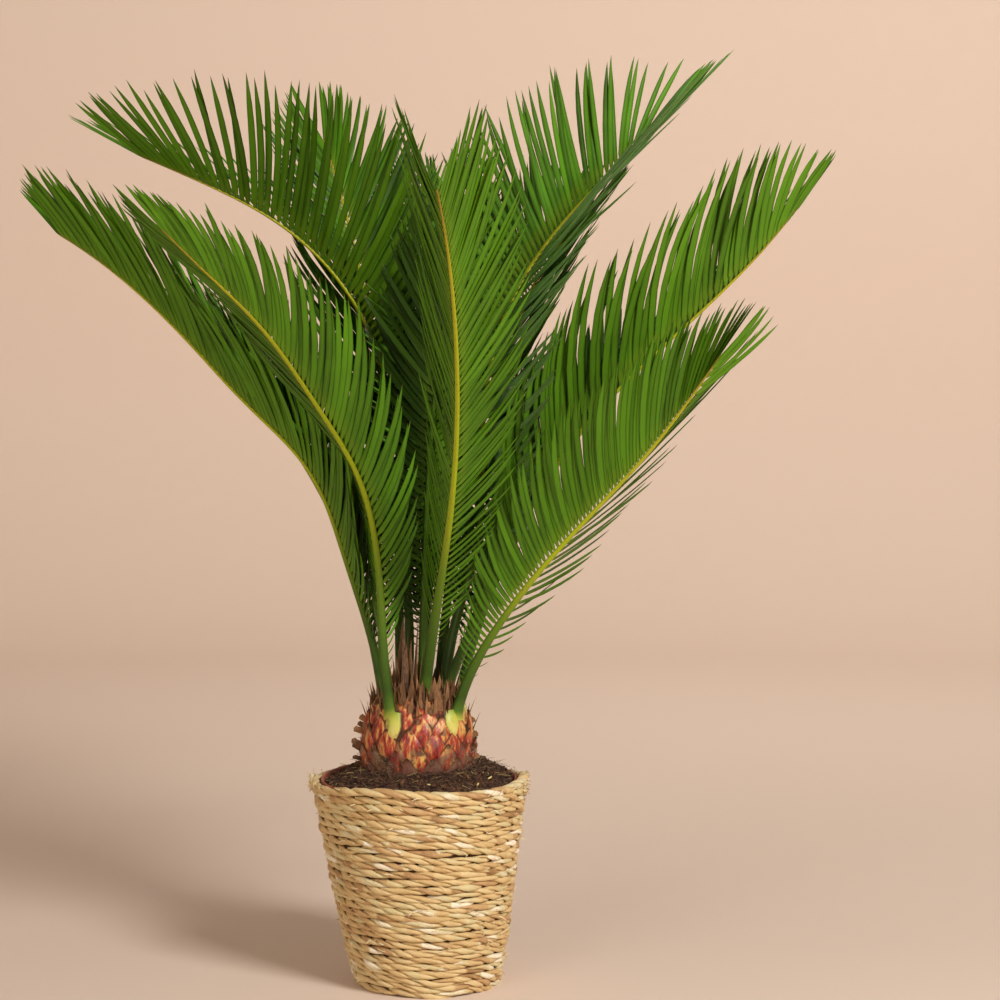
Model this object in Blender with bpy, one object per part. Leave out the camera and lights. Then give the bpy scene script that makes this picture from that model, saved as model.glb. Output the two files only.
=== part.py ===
"""Sago palm in a rope basket: a swollen scaly stem, thirteen feather fronds, and the plant pot inside the basket.

Run with: blender --background --python part.py
Units are metres and +Z is up. The side the photo shows faces -Y.
The origin is the middle of the basket's flat underside.
"""

import math
import random

import bmesh
import bpy
from mathutils import Vector
from mathutils.bvhtree import BVHTree

MM = 0.001
GAP = 0.3 * MM
UP = Vector((0, 0, 1))

# Basket: a tapered cup of rope rows that leans a little to the left
CUP_SIDES = 24
BASKET_HEIGHT = 196 * MM
BASKET_FOOT_RADIUS = 68 * MM
BASKET_RIM_RADIUS = 102 * MM
BASKET_LEAN = -10 * MM
BASKET_FLOOR = 7 * MM
ROPE_ROWS = 25
ROPE_RELIEF = 2.2 * MM
RIM_WAVE = 2.5 * MM

# Plant pot and what fills it
POT_RIM_RADIUS = 93 * MM
POT_FOOT_RADIUS = 60 * MM
POT_RIM_TOP = 197.3 * MM
POT_WALL = 2.2 * MM
SOIL_EDGE_HEIGHT = 191 * MM
SOIL_TOP_HEIGHT = 207 * MM

# Stem: radius and height pairs of its outline, from the flat cut up to the crown
STEM_CENTRE = Vector((-11 * MM, 0, 0))
STEM_FOOT_HEIGHT = 200 * MM
STEM_OUTLINE = ((53, 200), (53.6, 208), (55.5, 219), (54.5, 231), (52.5, 243), (49.5, 254), (46, 262), (40, 270), (31, 276), (18, 281))
STEM_TOP_HEIGHT = 283 * MM
STEM_SIDES = 36
SCALE_RINGS = range(2, 6)
SCALE_DEPTH = 4.5 * MM
SCALE_LIFT = 2.5 * MM

# Fronds: rib width by share of the frond's length
RIB_STATIONS = (0, 0.12, 0.25, 0.45, 0.75, 1)
RIB_WIDTHS = (12, 10, 7, 5, 3, 1.6)
RIB_DEPTH_SHARE = 0.75
RIB_STEPS = 80
FIRST_LEAFLET = 0.13
LEAFLET_PAIRS = 24
LEAFLET_WIDTH = 8.5 * MM
LEAFLET_FOOT = 4 * MM
LEAFLET_THICKNESS_SHARE = 0.0115
LENGTH_STATIONS = (0, 0.05, 0.19, 0.43, 0.76, 1)
FIRST_LENGTH = 22
SWEEP_STATIONS = (0, 0.43, 0.81, 1)

# One row a frond. Lengths are in millimetres and angles in degrees.
# leans: lean from upright at even steps along the rib. roll: turn of the blade about its rib.
# vee: rise of the two rows. sweep: angle of a leaflet to the rib. bend: how far a leaflet turns towards the tip.
FRONDS = {
    "frond_left": {
        "foot": (-43, -6, 268), "heading": -174, "turn": 1, "length": 546,
        "leans": (7, 18, 20, 45, 42, 48, 59), "roll": (-17, 6), "vee": (37, 48),
        "sweep": (57, 42, 28, 20), "bend": (42, 0), "leaflets": (55, 125, 144, 136, 73),
    },
    "frond_left_high": {
        "foot": (-22, 13, 275), "heading": 191, "turn": 8, "length": 619,
        "leans": (-6, 5, 3, 17, 41, 64, 70), "roll": (29, 7), "vee": (39, 29),
        "sweep": (72, 68, 65, 20), "bend": (29, 0), "leaflets": (55, 110, 185, 155, 87),
    },
    "frond_front_left": {
        "foot": (-34, -36, 256), "heading": -137, "turn": 0, "length": 555,
        "leans": (14, 3, 13, 39, 42, 51, 49), "roll": (21, 21), "vee": (48, 22),
        "sweep": (48, 60, 37, 6), "bend": (41, 26), "leaflets": (41, 89, 129, 88, 92),
    },
    "frond_front": {
        "foot": (-4, -25, 273), "heading": -69, "turn": -34, "length": 569,
        "leans": (18, 32, 40, 41, 41, 42, 49), "roll": (-23, 2), "vee": (46, 51),
        "sweep": (78, 59, 35, 20), "bend": (31, 0), "leaflets": (55, 75, 96, 116, 43),
    },
    "frond_front_right": {
        "foot": (25, -27, 254), "heading": -27, "turn": 0, "length": 444,
        "leans": (15, 33, 40, 45, 47, 34, 47), "roll": (-30, -26), "vee": (30, 44),
        "sweep": (80, 60, 36, 14), "bend": (32, 14), "leaflets": (45, 75, 112, 110, 78),
    },
    "frond_right": {
        "foot": (15, 0, 273), "heading": -9, "turn": -1, "length": 566,
        "leans": (19, 27, 26, 40, 47, 46, 37), "roll": (-26, -19), "vee": (38, 42),
        "sweep": (40, 52, 47, 6), "bend": (44, 15), "leaflets": (60, 129, 146, 140, 64),
    },
    "frond_right_high": {
        "foot": (14, 15, 272), "heading": 23, "turn": 0, "length": 635,
        "leans": (4, 18, 0, 12, 34, 48, 55), "roll": (45, 45), "vee": (42, 50),
        "sweep": (72, 72, 60, 10), "bend": (18, 4), "leaflets": (55, 110, 150, 125, 88),
    },
    "frond_back_left": {
        "foot": (-28, 30, 268), "heading": 139, "turn": 0, "length": 545,
        "leans": (4, 2, 8, 20, 26, 33, 42), "roll": (0, 0), "vee": (46, 42),
        "sweep": (70, 58, 42, 15), "bend": (30, 8), "leaflets": (55, 115, 150, 135, 75),
    },
    "frond_back": {
        "foot": (-5, 35, 266), "heading": 88, "turn": 0, "length": 600,
        "leans": (8, 10, 16, 26, 36, 46, 56), "roll": (0, 0), "vee": (46, 42),
        "sweep": (70, 58, 42, 15), "bend": (30, 8), "leaflets": (55, 115, 150, 135, 75),
    },
    "frond_back_right": {
        "foot": (8, 28, 268), "heading": 58, "turn": 0, "length": 600,
        "leans": (8, 12, 20, 30, 40, 50, 58), "roll": (10, 10), "vee": (46, 42),
        "sweep": (70, 58, 42, 15), "bend": (30, 8), "leaflets": (55, 115, 150, 135, 75),
    },
    "frond_right_low": {
        "foot": (25, 22, 262), "heading": 32, "turn": 0, "length": 432,
        "leans": (16, 22, 28, 36, 42, 48, 52), "roll": (0, 0), "vee": (46, 42),
        "sweep": (70, 58, 42, 15), "bend": (30, 8), "leaflets": (50, 100, 130, 110, 60),
    },
    "frond_inner": {
        "foot": (-6, -4, 277), "heading": -60, "turn": 0, "length": 436,
        "leans": (2, 2, 4, 8, 14, 20, 26), "roll": (0, 0), "vee": (50, 48),
        "sweep": (70, 58, 42, 15), "bend": (30, 8), "leaflets": (50, 95, 125, 110, 65),
    },
    "frond_left_low": {
        "foot": (-44, 10, 266), "heading": 160, "turn": 0, "length": 400,
        "leans": (10, 14, 20, 30, 36, 42, 48), "roll": (0, 0), "vee": (46, 42),
        "sweep": (70, 58, 42, 15), "bend": (30, 8), "leaflets": (50, 90, 120, 105, 60),
    },
}

# Dry sheaths round the growing point: place, height, lean and heading of each blade
SHEATH_CENTRE = Vector((-21 * MM, -14 * MM, 276 * MM))
SHEATHS = ((0, 0, 62, 2, 0), (4, 3, 48, 8, 40), (-4, 2, 42, 9, 150), (-1, -4, 52, 6, 260), (3, -3, 36, 12, 320))


def clear_scene():
    for scene_object in list(bpy.data.objects):
        bpy.data.objects.remove(scene_object)


def between(stations, values, share):
    """The value at a share of the way, on straight lines between the stations."""
    for index in range(1, len(stations)):
        if share <= stations[index]:
            part = (share - stations[index - 1]) / (stations[index] - stations[index - 1])
            return values[index - 1] + (values[index] - values[index - 1]) * max(part, 0)
    return values[-1]


def make_material(name, colour, roughness, metallic=0.0):
    material = bpy.data.materials.new(name)
    material.use_nodes = True
    shader = material.node_tree.nodes["Principled BSDF"]
    shader.inputs["Base Color"].default_value = (*colour, 1)
    shader.inputs["Roughness"].default_value = roughness
    shader.inputs["Metallic"].default_value = metallic
    return material


def link_mesh(name, bm, material, collection, parent=None, location=(0, 0, 0)):
    """Makes an object of the mesh, with its origin at the location."""
    bmesh.ops.recalc_face_normals(bm, faces=bm.faces)
    mesh = bpy.data.meshes.new(name)
    bmesh.ops.translate(bm, vec=-Vector(location), verts=bm.verts)
    bm.to_mesh(mesh)
    bm.free()
    mesh.materials.append(material)
    made = bpy.data.objects.new(name, mesh)
    made.location = location
    made.parent = parent
    collection.objects.link(made)
    return made


def turned(outline, sides, start=0.0):
    """A closed solid turned about the Z axis from an outline of (radius, height) points that begins and ends on it."""
    bm = bmesh.new()
    verts = [bm.verts.new((radius * math.cos(start), radius * math.sin(start), height)) for radius, height in outline]
    edges = [bm.edges.new(pair) for pair in zip(verts, verts[1:])]
    bmesh.ops.spin(bm, geom=verts + edges, cent=(0, 0, 0), axis=UP, angle=2 * math.pi, steps=sides, use_merge=True)
    bmesh.ops.remove_doubles(bm, verts=bm.verts, dist=0.01 * MM)
    return bm


def lean_with_basket(bm):
    """Shifts each point sideways in step with its height, as the basket leans."""
    for vert in bm.verts:
        vert.co.x += BASKET_LEAN * vert.co.z / BASKET_HEIGHT


# Basket, pot and soil


def make_basket(collection, parent):
    """The rope basket: ridged outside, plain inside, with a slightly wavy rim."""
    outline = [(0, 0), (BASKET_FOOT_RADIUS - 6 * MM, 0)]
    pitch = (BASKET_HEIGHT - 2 * MM) / ROPE_ROWS
    slope = (BASKET_RIM_RADIUS - BASKET_FOOT_RADIUS) / BASKET_HEIGHT
    for row in range(ROPE_ROWS):
        low = 2 * MM + row * pitch
        middle = low + pitch / 2
        foot_round = 3 * MM if row == 0 else 0
        outline.append((BASKET_FOOT_RADIUS + slope * low - ROPE_RELIEF - foot_round, low))
        outline.append((BASKET_FOOT_RADIUS + slope * middle, middle))
    outline.append((BASKET_RIM_RADIUS - ROPE_RELIEF, BASKET_HEIGHT))
    outline.append((POT_RIM_RADIUS + GAP + 1.5 * MM, BASKET_HEIGHT))
    outline.append((POT_RIM_RADIUS + GAP, BASKET_HEIGHT - 2 * MM))
    outline.append((POT_RIM_RADIUS + GAP, POT_RIM_TOP - 9.8 * MM))
    outline.append((POT_RIM_RADIUS - 2 * MM, POT_RIM_TOP - 13.3 * MM))
    outline.append((POT_FOOT_RADIUS + 2 * MM, BASKET_FLOOR + 2 * MM))
    outline.append((POT_FOOT_RADIUS, BASKET_FLOOR))
    outline.append((0, BASKET_FLOOR))
    bm = turned(outline, CUP_SIDES)
    for vert in bm.verts:
        angle = math.atan2(vert.co.y, vert.co.x)
        if vert.co.xy.length > POT_RIM_RADIUS + 2 * GAP:
            lift = (vert.co.z / BASKET_HEIGHT) ** 6
            vert.co.z += RIM_WAVE * lift * math.sin(3 * angle + 0.6)
    lean_with_basket(bm)
    straw = make_material("Seagrass rope", (0.60, 0.42, 0.20), 0.8)
    return link_mesh("basket", bm, straw, collection, parent)


def make_pot(collection, parent):
    """The thin plastic plant pot, with its lip."""
    floor = BASKET_FLOOR + GAP
    lip = POT_RIM_TOP - 9.4 * MM
    outline = [
        (0, floor),
        (POT_FOOT_RADIUS - 2 * MM, floor),
        (POT_FOOT_RADIUS, floor + 2 * MM),
        (POT_RIM_RADIUS - 2.8 * MM, lip),
        (POT_RIM_RADIUS, lip),
        (POT_RIM_RADIUS, POT_RIM_TOP - 1 * MM),
        (POT_RIM_RADIUS - 0.8 * MM, POT_RIM_TOP),
        (POT_RIM_RADIUS - 2 * MM, POT_RIM_TOP),
        (POT_RIM_RADIUS - 2.6 * MM, POT_RIM_TOP - 1.5 * MM),
        (POT_RIM_RADIUS - 2.8 * MM - POT_WALL, lip - 2 * MM),
        (POT_FOOT_RADIUS - POT_WALL, floor + POT_WALL),
        (0, floor + POT_WALL),
    ]
    bm = turned(outline, CUP_SIDES)
    lean_with_basket(bm)
    terracotta = make_material("Terracotta plastic", (0.36, 0.11, 0.06), 0.55)
    return link_mesh("plant_pot", bm, terracotta, collection, parent)


def make_soil(collection, parent):
    """The peat that fills the pot, heaped round the stem and lumpy on top."""
    floor = BASKET_FLOOR + 2 * GAP + POT_WALL
    lip = POT_RIM_TOP - 11.4 * MM
    pocket = (STEM_OUTLINE[0][0] * MM + GAP) / math.cos(math.pi / CUP_SIDES) + 0.3 * MM
    edge = POT_RIM_RADIUS - 2.8 * MM - POT_WALL + (SOIL_EDGE_HEIGHT - lip) * 0.24 - GAP
    outline = [
        (0, floor),
        (POT_FOOT_RADIUS - POT_WALL - GAP - 0.4 * MM, floor),
        (POT_RIM_RADIUS - 2.8 * MM - POT_WALL - GAP - 0.1 * MM, lip),
        (edge - 0.2 * MM, SOIL_EDGE_HEIGHT),
        (82 * MM, SOIL_EDGE_HEIGHT + 5 * MM),
        (73 * MM, SOIL_EDGE_HEIGHT + 10 * MM),
        (63 * MM, SOIL_TOP_HEIGHT - 1 * MM),
        (pocket, SOIL_TOP_HEIGHT - 0.5 * MM),
        (pocket, STEM_FOOT_HEIGHT - GAP),
        (0, STEM_FOOT_HEIGHT - GAP),
    ]
    bm = turned(outline, CUP_SIDES)
    lumps = random.Random(7)
    in_pocket = [vert for vert in bm.verts if vert.co.xy.length < pocket + 1 * MM and vert.co.z > STEM_FOOT_HEIGHT - 1 * MM]
    lean_with_basket(bm)
    for vert in in_pocket:
        vert.co.x += STEM_CENTRE.x - BASKET_LEAN * vert.co.z / BASKET_HEIGHT
    for vert in bm.verts:
        radius = (vert.co.xy - Vector((BASKET_LEAN, 0))).length
        if 60 * MM < radius < 84 * MM and vert.co.z > SOIL_EDGE_HEIGHT:
            angle = math.atan2(vert.co.y, vert.co.x)
            vert.co.z += 3 * MM * math.cos(angle - 0.4) + lumps.uniform(-1.5, 1.5) * MM
            vert.co.x += lumps.uniform(-1, 1) * MM
    peat = make_material("Peat", (0.035, 0.02, 0.012), 0.95)
    return link_mesh("soil", bm, peat, collection, parent)


# Stem


def stem_outline(grow=0.0):
    """The outline of the stem's outer surface, moved outwards by the given distance."""
    sides = [(radius * MM + grow, height * MM + grow) for radius, height in STEM_OUTLINE]
    return [(0, sides[0][1]), *sides, (0, STEM_TOP_HEIGHT + grow)]


def make_stem(collection, parent):
    """The swollen stem. Points of every other side stand out and the rest sink in, which makes a net of pointed scales."""
    bm = turned(stem_outline(), STEM_SIDES)
    wear = random.Random(3)
    for vert in bm.verts:
        radius = vert.co.xy.length
        heights = [abs(height * MM - vert.co.z) for _, height in STEM_OUTLINE]
        ring = heights.index(min(heights))
        if ring not in SCALE_RINGS or radius < 20 * MM:
            continue
        side = round(math.atan2(vert.co.y, vert.co.x) / (2 * math.pi) * STEM_SIDES)
        outward = Vector((vert.co.x, vert.co.y, 0)) / radius
        if (side + ring) % 2:
            vert.co -= outward * SCALE_DEPTH * wear.uniform(0.75, 1.0)
        else:
            lifted = vert.co.z + SCALE_LIFT
            reach = between([z * MM for _, z in STEM_OUTLINE], [r * MM for r, _ in STEM_OUTLINE], lifted)
            vert.co += UP * SCALE_LIFT + outward * (min(reach, radius) - radius - wear.uniform(0.0, 1.2) * MM)
    bmesh.ops.translate(bm, vec=STEM_CENTRE, verts=bm.verts)
    scales = make_material("Leaf-base scales", (0.46, 0.17, 0.05), 0.7)
    return link_mesh("stem", bm, scales, collection, parent, STEM_CENTRE + UP * STEM_FOOT_HEIGHT)


def make_crown_clearance(collection):
    """The stem's outline grown by the gap. It trims the feet of the fronds and of the sheaths."""
    bm = turned(stem_outline(GAP), STEM_SIDES)
    bmesh.ops.translate(bm, vec=STEM_CENTRE, verts=bm.verts)
    cutter = link_mesh("crown_clearance", bm, make_material("Cutter", (1, 0, 0), 0.5), collection)
    cutter.hide_render = True
    cutter.display_type = "WIRE"
    return cutter


def trim_foot(piece, cutter):
    trim = piece.modifiers.new("Trim foot", "BOOLEAN")
    trim.operation = "DIFFERENCE"
    trim.solver = "EXACT"
    trim.object = cutter


def make_sheaths(collection, parent, cutter):
    """A tuft of dry pointed sheaths between the frond feet, joined to one solid."""
    parts = bpy.data.collections.new("Sheath parts")
    bpy.context.scene.collection.children.link(parts)
    brown = make_material("Dry sheaths", (0.17, 0.08, 0.04), 0.85)
    for index, (x, y, height, lean, heading) in enumerate(SHEATHS):
        bm = bmesh.new()
        tall = (height + 12) * MM
        bmesh.ops.create_cone(bm, cap_ends=True, segments=5, radius1=4.2 * MM, radius2=0.5 * MM, depth=tall)
        bmesh.ops.translate(bm, vec=UP * (tall / 2 - 8 * MM), verts=bm.verts)
        for vert in bm.verts:
            along = max(vert.co.z, 0)
            angle = math.radians(heading)
            vert.co += Vector((math.cos(angle), math.sin(angle), 0)) * along * math.tan(math.radians(lean))
        place = SHEATH_CENTRE + Vector((x, y, 0)) * MM
        bmesh.ops.translate(bm, vec=place, verts=bm.verts)
        link_mesh(f"sheath_{index}", bm, brown, parts)
    bm = bmesh.new()
    bmesh.ops.create_cone(bm, cap_ends=True, segments=8, radius1=7.5 * MM, radius2=5 * MM, depth=20 * MM)
    bmesh.ops.translate(bm, vec=SHEATH_CENTRE, verts=bm.verts)
    sheaths = link_mesh("bud_sheaths", bm, brown, collection, parent)
    join = sheaths.modifiers.new("Join", "BOOLEAN")
    join.operation = "UNION"
    join.operand_type = "COLLECTION"
    join.collection = parts
    trim_foot(sheaths, cutter)
    bpy.context.view_layer.update()
    graph = bpy.context.evaluated_depsgraph_get()
    joined = bpy.data.meshes.new_from_object(sheaths.evaluated_get(graph))
    joined.name = "bud_sheaths"
    sheaths.modifiers.clear()
    sheaths.data = joined
    for part in list(parts.objects):
        bpy.data.objects.remove(part)
    bpy.data.collections.remove(parts)
    return sheaths


# Fronds


def lean_at(leans, share):
    """The lean at a share of the rib's length, on a smooth curve through the stations."""
    place = share * (len(leans) - 1)
    first = min(int(place), len(leans) - 2)
    part = place - first
    ends = (2 * leans[0] - leans[1], *leans, 2 * leans[-1] - leans[-2])
    a, b, c, d = ends[first : first + 4]
    curve = 2 * b + (c - a) * part
    curve += (2 * a - 5 * b + 4 * c - d) * part**2
    curve += (3 * b - a - 3 * c + d) * part**3
    return 0.5 * curve


def rib_frames(frond):
    """Points along the rib, each with its forward, upper and side directions."""
    frames = []
    point = Vector(frond["foot"]) * MM
    for index in range(RIB_STEPS + 1):
        share = index / RIB_STEPS
        heading = math.radians(frond["heading"] + frond["turn"] * share)
        lean = math.radians(lean_at(frond["leans"], share))
        out = Vector((math.cos(heading), math.sin(heading), 0))
        forward = out * math.sin(lean) + UP * math.cos(lean)
        upper = UP * math.sin(lean) - out * math.cos(lean)
        side = Vector((-math.sin(heading), math.cos(heading), 0))
        roll = math.radians(between((0, 1), frond["roll"], share))
        rolled_upper = upper * math.cos(roll) - side * math.sin(roll)
        rolled_side = side * math.cos(roll) + upper * math.sin(roll)
        frames.append((point.copy(), forward, rolled_upper, rolled_side))
        step_lean = math.radians(lean_at(frond["leans"], min(share + 0.5 / RIB_STEPS, 1)))
        step_heading = math.radians(frond["heading"] + frond["turn"] * (share + 0.5 / RIB_STEPS))
        step_out = Vector((math.cos(step_heading), math.sin(step_heading), 0))
        step = step_out * math.sin(step_lean) + UP * math.cos(step_lean)
        point += step * frond["length"] * MM / RIB_STEPS
    return frames


def frame_at(frames, share):
    place = min(max(share, 0), 1) * RIB_STEPS
    first = min(int(place), RIB_STEPS - 1)
    return [low.lerp(high, place - first) for low, high in zip(frames[first], frames[first + 1])]


def rib_corners(frames, share):
    """The four corners of the rib's section, upper side first."""
    point, _, upper, side = frame_at(frames, share)
    width = between(RIB_STATIONS, RIB_WIDTHS, share) * MM
    across = side * width / 2
    rise = upper * width * RIB_DEPTH_SHARE / 2
    return [point + across + rise, point - across + rise, point - across - rise, point + across - rise]


def make_rib(frond, frames):
    """The bare rib as a four-sided tube, with the pairs of side faces that leaflets grow from."""
    bm = bmesh.new()
    bmesh.ops.create_circle(bm, cap_ends=True, segments=4, radius=1)
    bm.faces.ensure_lookup_table()
    cap = bm.faces[0]
    for vert, corner in zip(cap.verts, rib_corners(frames, 0)):
        vert.co = corner
    grown = bmesh.ops.extrude_face_region(bm, geom=[cap])["geom"]
    end = next(item for item in grown if isinstance(item, bmesh.types.BMFace))
    for vert, corner in zip(end.verts, rib_corners(frames, 0.04)):
        vert.co = corner
    sockets = []
    foot_share = LEAFLET_FOOT / (frond["length"] * MM)
    stops = [(0.085, None)]
    for pair in range(LEAFLET_PAIRS):
        station = pair / (LEAFLET_PAIRS - 1)
        start = FIRST_LEAFLET + (1 - FIRST_LEAFLET - foot_share * 1.3) * station
        stops += [(start, None), (start + foot_share, station)]
    for share, station in stops:
        end = bmesh.ops.extrude_discrete_faces(bm, faces=[end])["faces"][0]
        for vert, corner in zip(end.verts, rib_corners(frames, share)):
            vert.co = corner
        if station is not None:
            walls = [next(face for face in edge.link_faces if face is not end) for edge in end.edges]
            sockets.append((station, share - foot_share / 2, walls[3], walls[1]))
    return bm, sockets


def leaflet_shape(frond, frames, station, share, hand, scale):
    """The widest section's four corners, given as middle and half axes, and the tip of one leaflet."""
    point, forward, upper, side = frame_at(frames, share)
    sweep = between(SWEEP_STATIONS, frond["sweep"], station)
    bend = between((0, 1), frond["bend"], station)
    vee = math.radians(between((0, 1), frond["vee"], station))
    length = between(LENGTH_STATIONS, (FIRST_LENGTH, *frond["leaflets"]), station) * MM * scale
    outward = side * hand * math.cos(vee) + upper * math.sin(vee)
    near = math.radians(max(sweep - bend * 0.25, 10))
    far = math.radians(max(sweep - bend * 0.75, 8))
    first = forward * math.cos(near) + outward * math.sin(near)
    second = forward * math.cos(far) + outward * math.sin(far)
    middle = point + first * length * 0.45
    tip = middle + second * length * 0.55
    pitch = frond["length"] * MM * (1 - FIRST_LEAFLET) / LEAFLET_PAIRS
    width = min(LEAFLET_WIDTH, 0.75 * pitch * math.sin((near + far) / 2), length * 0.12)
    thick = max(length * LEAFLET_THICKNESS_SHARE, 0.8 * MM)
    along = (forward - first * forward.dot(first)).normalized()
    normal = first.cross(along).normalized()
    if normal.dot(upper) < 0:
        normal = -normal
    return middle, along * width / 2, normal * thick / 2, tip


def leaflet_corners(wall, upper, forward, shape):
    """The corners of the side face, and for each the corner of the leaflet's widest section that it is drawn out to."""
    middle, along, normal, _ = shape
    centre = wall.calc_center_median()
    pairs = []
    for vert in wall.verts:
        ahead = along if (vert.co - centre).dot(forward) > 0 else -along
        above = normal if (vert.co - centre).dot(upper) > 0 else -normal
        pairs.append((vert.co.copy(), middle + ahead + above))
    return pairs


def leaflet_clear(pairs, shape, trees):
    """Whether a slightly swollen copy of the leaflet keeps off every other frond."""
    middle, tip = shape[0], shape[3]
    root = sum((start for start, _ in pairs), Vector()) / 4
    starts = [root + (start - root) * 1.3 for start, _ in pairs]
    ends = [middle + (end - middle) * 1.5 for _, end in pairs]
    faces = []
    for index in range(4):
        after = (index + 1) % 4
        faces += [(index, after, after + 4), (index, after + 4, index + 4), (index + 4, after + 4, 8)]
    copy = BVHTree.FromPolygons([*starts, *ends, tip + (tip - middle).normalized() * MM], faces)
    return not any(copy.overlap(tree) for tree in trees)


def add_leaflet(bm, wall, pairs, tip):
    """Draws the side face out to the leaflet's widest section, and from there to its tip."""
    blade = bmesh.ops.extrude_discrete_faces(bm, faces=[wall])["faces"][0]
    for vert in blade.verts:
        vert.co = min(pairs, key=lambda pair: (pair[0] - vert.co).length)[1]
    poked = bmesh.ops.poke(bm, faces=[blade])
    poked["verts"][0].co = tip


def make_fronds(collection, parent, cutter, blocks):
    """All the fronds. A leaflet that would touch another frond is shortened, and left out if that isn't enough."""
    green = make_material("Frond green", (0.09, 0.22, 0.03), 0.45)
    all_frames = {name: rib_frames(frond) for name, frond in FRONDS.items()}
    ribs = {name: make_rib(frond, all_frames[name]) for name, frond in FRONDS.items()}
    trees = {name: BVHTree.FromBMesh(bm) for name, (bm, _) in ribs.items()}
    left_out = 0
    for name, frond in FRONDS.items():
        bm, sockets = ribs[name]
        frames = all_frames[name]
        others = blocks + [tree for other, tree in trees.items() if other != name]
        for station, share, left_wall, right_wall in sockets:
            _, forward, upper, _ = frame_at(frames, share)
            for hand, wall in ((1, left_wall), (-1, right_wall)):
                for scale in (1, 0.85, 0.7, 0.55, 0.4):
                    shape = leaflet_shape(frond, frames, station, share, hand, scale)
                    pairs = leaflet_corners(wall, upper, forward, shape)
                    if leaflet_clear(pairs, shape, others):
                        add_leaflet(bm, wall, pairs, shape[3])
                        break
                else:
                    left_out += 1
        trees[name] = BVHTree.FromBMesh(bm)
        foot = Vector(frond["foot"]) * MM
        made = link_mesh(name, bm, green, collection, parent, foot)
        trim_foot(made, cutter)
    print(f"leaflets left out: {left_out}")


def main():
    clear_scene()
    collection = bpy.data.collections.new("Sago palm")
    cutters = bpy.data.collections.new("Cutters")
    bpy.context.scene.collection.children.link(collection)
    bpy.context.scene.collection.children.link(cutters)
    plant = bpy.data.objects.new("sago_palm", None)
    collection.objects.link(plant)
    make_basket(collection, plant)
    make_pot(collection, plant)
    make_soil(collection, plant)
    make_stem(collection, plant)
    cutter = make_crown_clearance(cutters)
    sheaths = make_sheaths(collection, plant, cutter)
    block = bmesh.new()
    block.from_mesh(sheaths.data)
    sheath_tree = BVHTree.FromBMesh(block)
    block.free()
    make_fronds(collection, plant, cutter, [sheath_tree])


if __name__ == "__main__":
    main()
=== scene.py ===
"""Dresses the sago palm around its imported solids: fronds, scaly stem, soil, plant pot and twisted rope basket."""

import math
import random

import bmesh
import bpy
import numpy as np
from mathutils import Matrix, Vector, noise


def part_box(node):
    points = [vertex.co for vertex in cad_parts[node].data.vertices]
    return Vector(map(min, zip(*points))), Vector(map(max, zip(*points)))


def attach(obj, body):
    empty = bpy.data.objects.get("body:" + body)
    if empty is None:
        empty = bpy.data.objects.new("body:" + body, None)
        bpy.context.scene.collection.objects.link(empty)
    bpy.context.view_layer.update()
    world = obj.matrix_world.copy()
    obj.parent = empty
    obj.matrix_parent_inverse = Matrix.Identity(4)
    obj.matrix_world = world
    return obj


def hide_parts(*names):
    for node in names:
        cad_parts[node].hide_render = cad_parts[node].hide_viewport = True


bl_info = {
    "name": "Sago palm in a rope basket",
    "version": (1, 0, 0),
    "blender": (4, 5, 0),
    "location": "3D Viewport > Sidebar > Sago palm",
    "description": "Builds a potted sago palm frond by frond, with its scaly stem and its basket of twisted grass rope",
    "category": "Add Mesh",
}

MM = 0.001
TURN = 2 * math.pi
UP = np.array((0.0, 0.0, 1.0))

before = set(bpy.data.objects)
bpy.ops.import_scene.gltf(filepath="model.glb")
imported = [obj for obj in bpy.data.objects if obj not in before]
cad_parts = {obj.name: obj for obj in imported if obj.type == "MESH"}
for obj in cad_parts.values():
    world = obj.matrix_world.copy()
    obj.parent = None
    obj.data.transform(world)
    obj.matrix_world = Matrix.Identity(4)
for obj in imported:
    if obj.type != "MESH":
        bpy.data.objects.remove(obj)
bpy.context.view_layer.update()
BASKET_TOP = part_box("basket")[1].z
POT_LOW, POT_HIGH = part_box("plant_pot")

# Lean of the basket: its middle at the foot and at the rim, and the stem's place in it
BASKET_FOOT = -1.8 * MM
BASKET_LEAN = -10 * MM
STEM_CENTRE = np.array((-11 * MM, 0, 0))

# Stem: height and radius pairs of its outline, and the rings of scales round it
STEM_OUTLINE = (
    (196, 51), (200, 51), (208, 51.8), (219, 53), (231, 52.2), (243, 50.4), (254, 47), (262, 43), (270, 37.5),
    (276, 30), (281, 18), (283, 0),
)
RING_HEIGHTS = (204, 217, 230.5, 244, 256, 266)
RING_GAPS = (0, 0, 0, 0, 1, 3)
RING_SIZES = (1, 1, 1, 0.95, 0.85, 0.7)

# Pale feet of the youngest stalks, where they leave the stem: angle, height and tallness
FRESH_FEET = ((-115.6, 246, 28), (-46.4, 248, 26), (-12, 262, 20))
FRESH_ZONE = 1.6

# Needle bracts round the crown, and stumps of old stalks low on the stem: angle, height and length
NEEDLES = (
    (-158, 262, 22), (-150, 256, 14), (-20, 250, 26), (-32, 262, 24), (-8, 240, 20), (-95, 272, 26), (-70, 270, 24),
    (175, 252, 18), (40, 262, 24), (100, 262, 26), (140, 258, 20),
)
STUMPS = (
    (-168, 250, 8), (-174, 239, 10), (-168, 226, 12), (-176, 222, 10), (-165, 214, 11), (-170, 208, 9), (-6, 236, 6),
    (-12, 224, 7), (-22, 214, 7),
)

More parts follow.
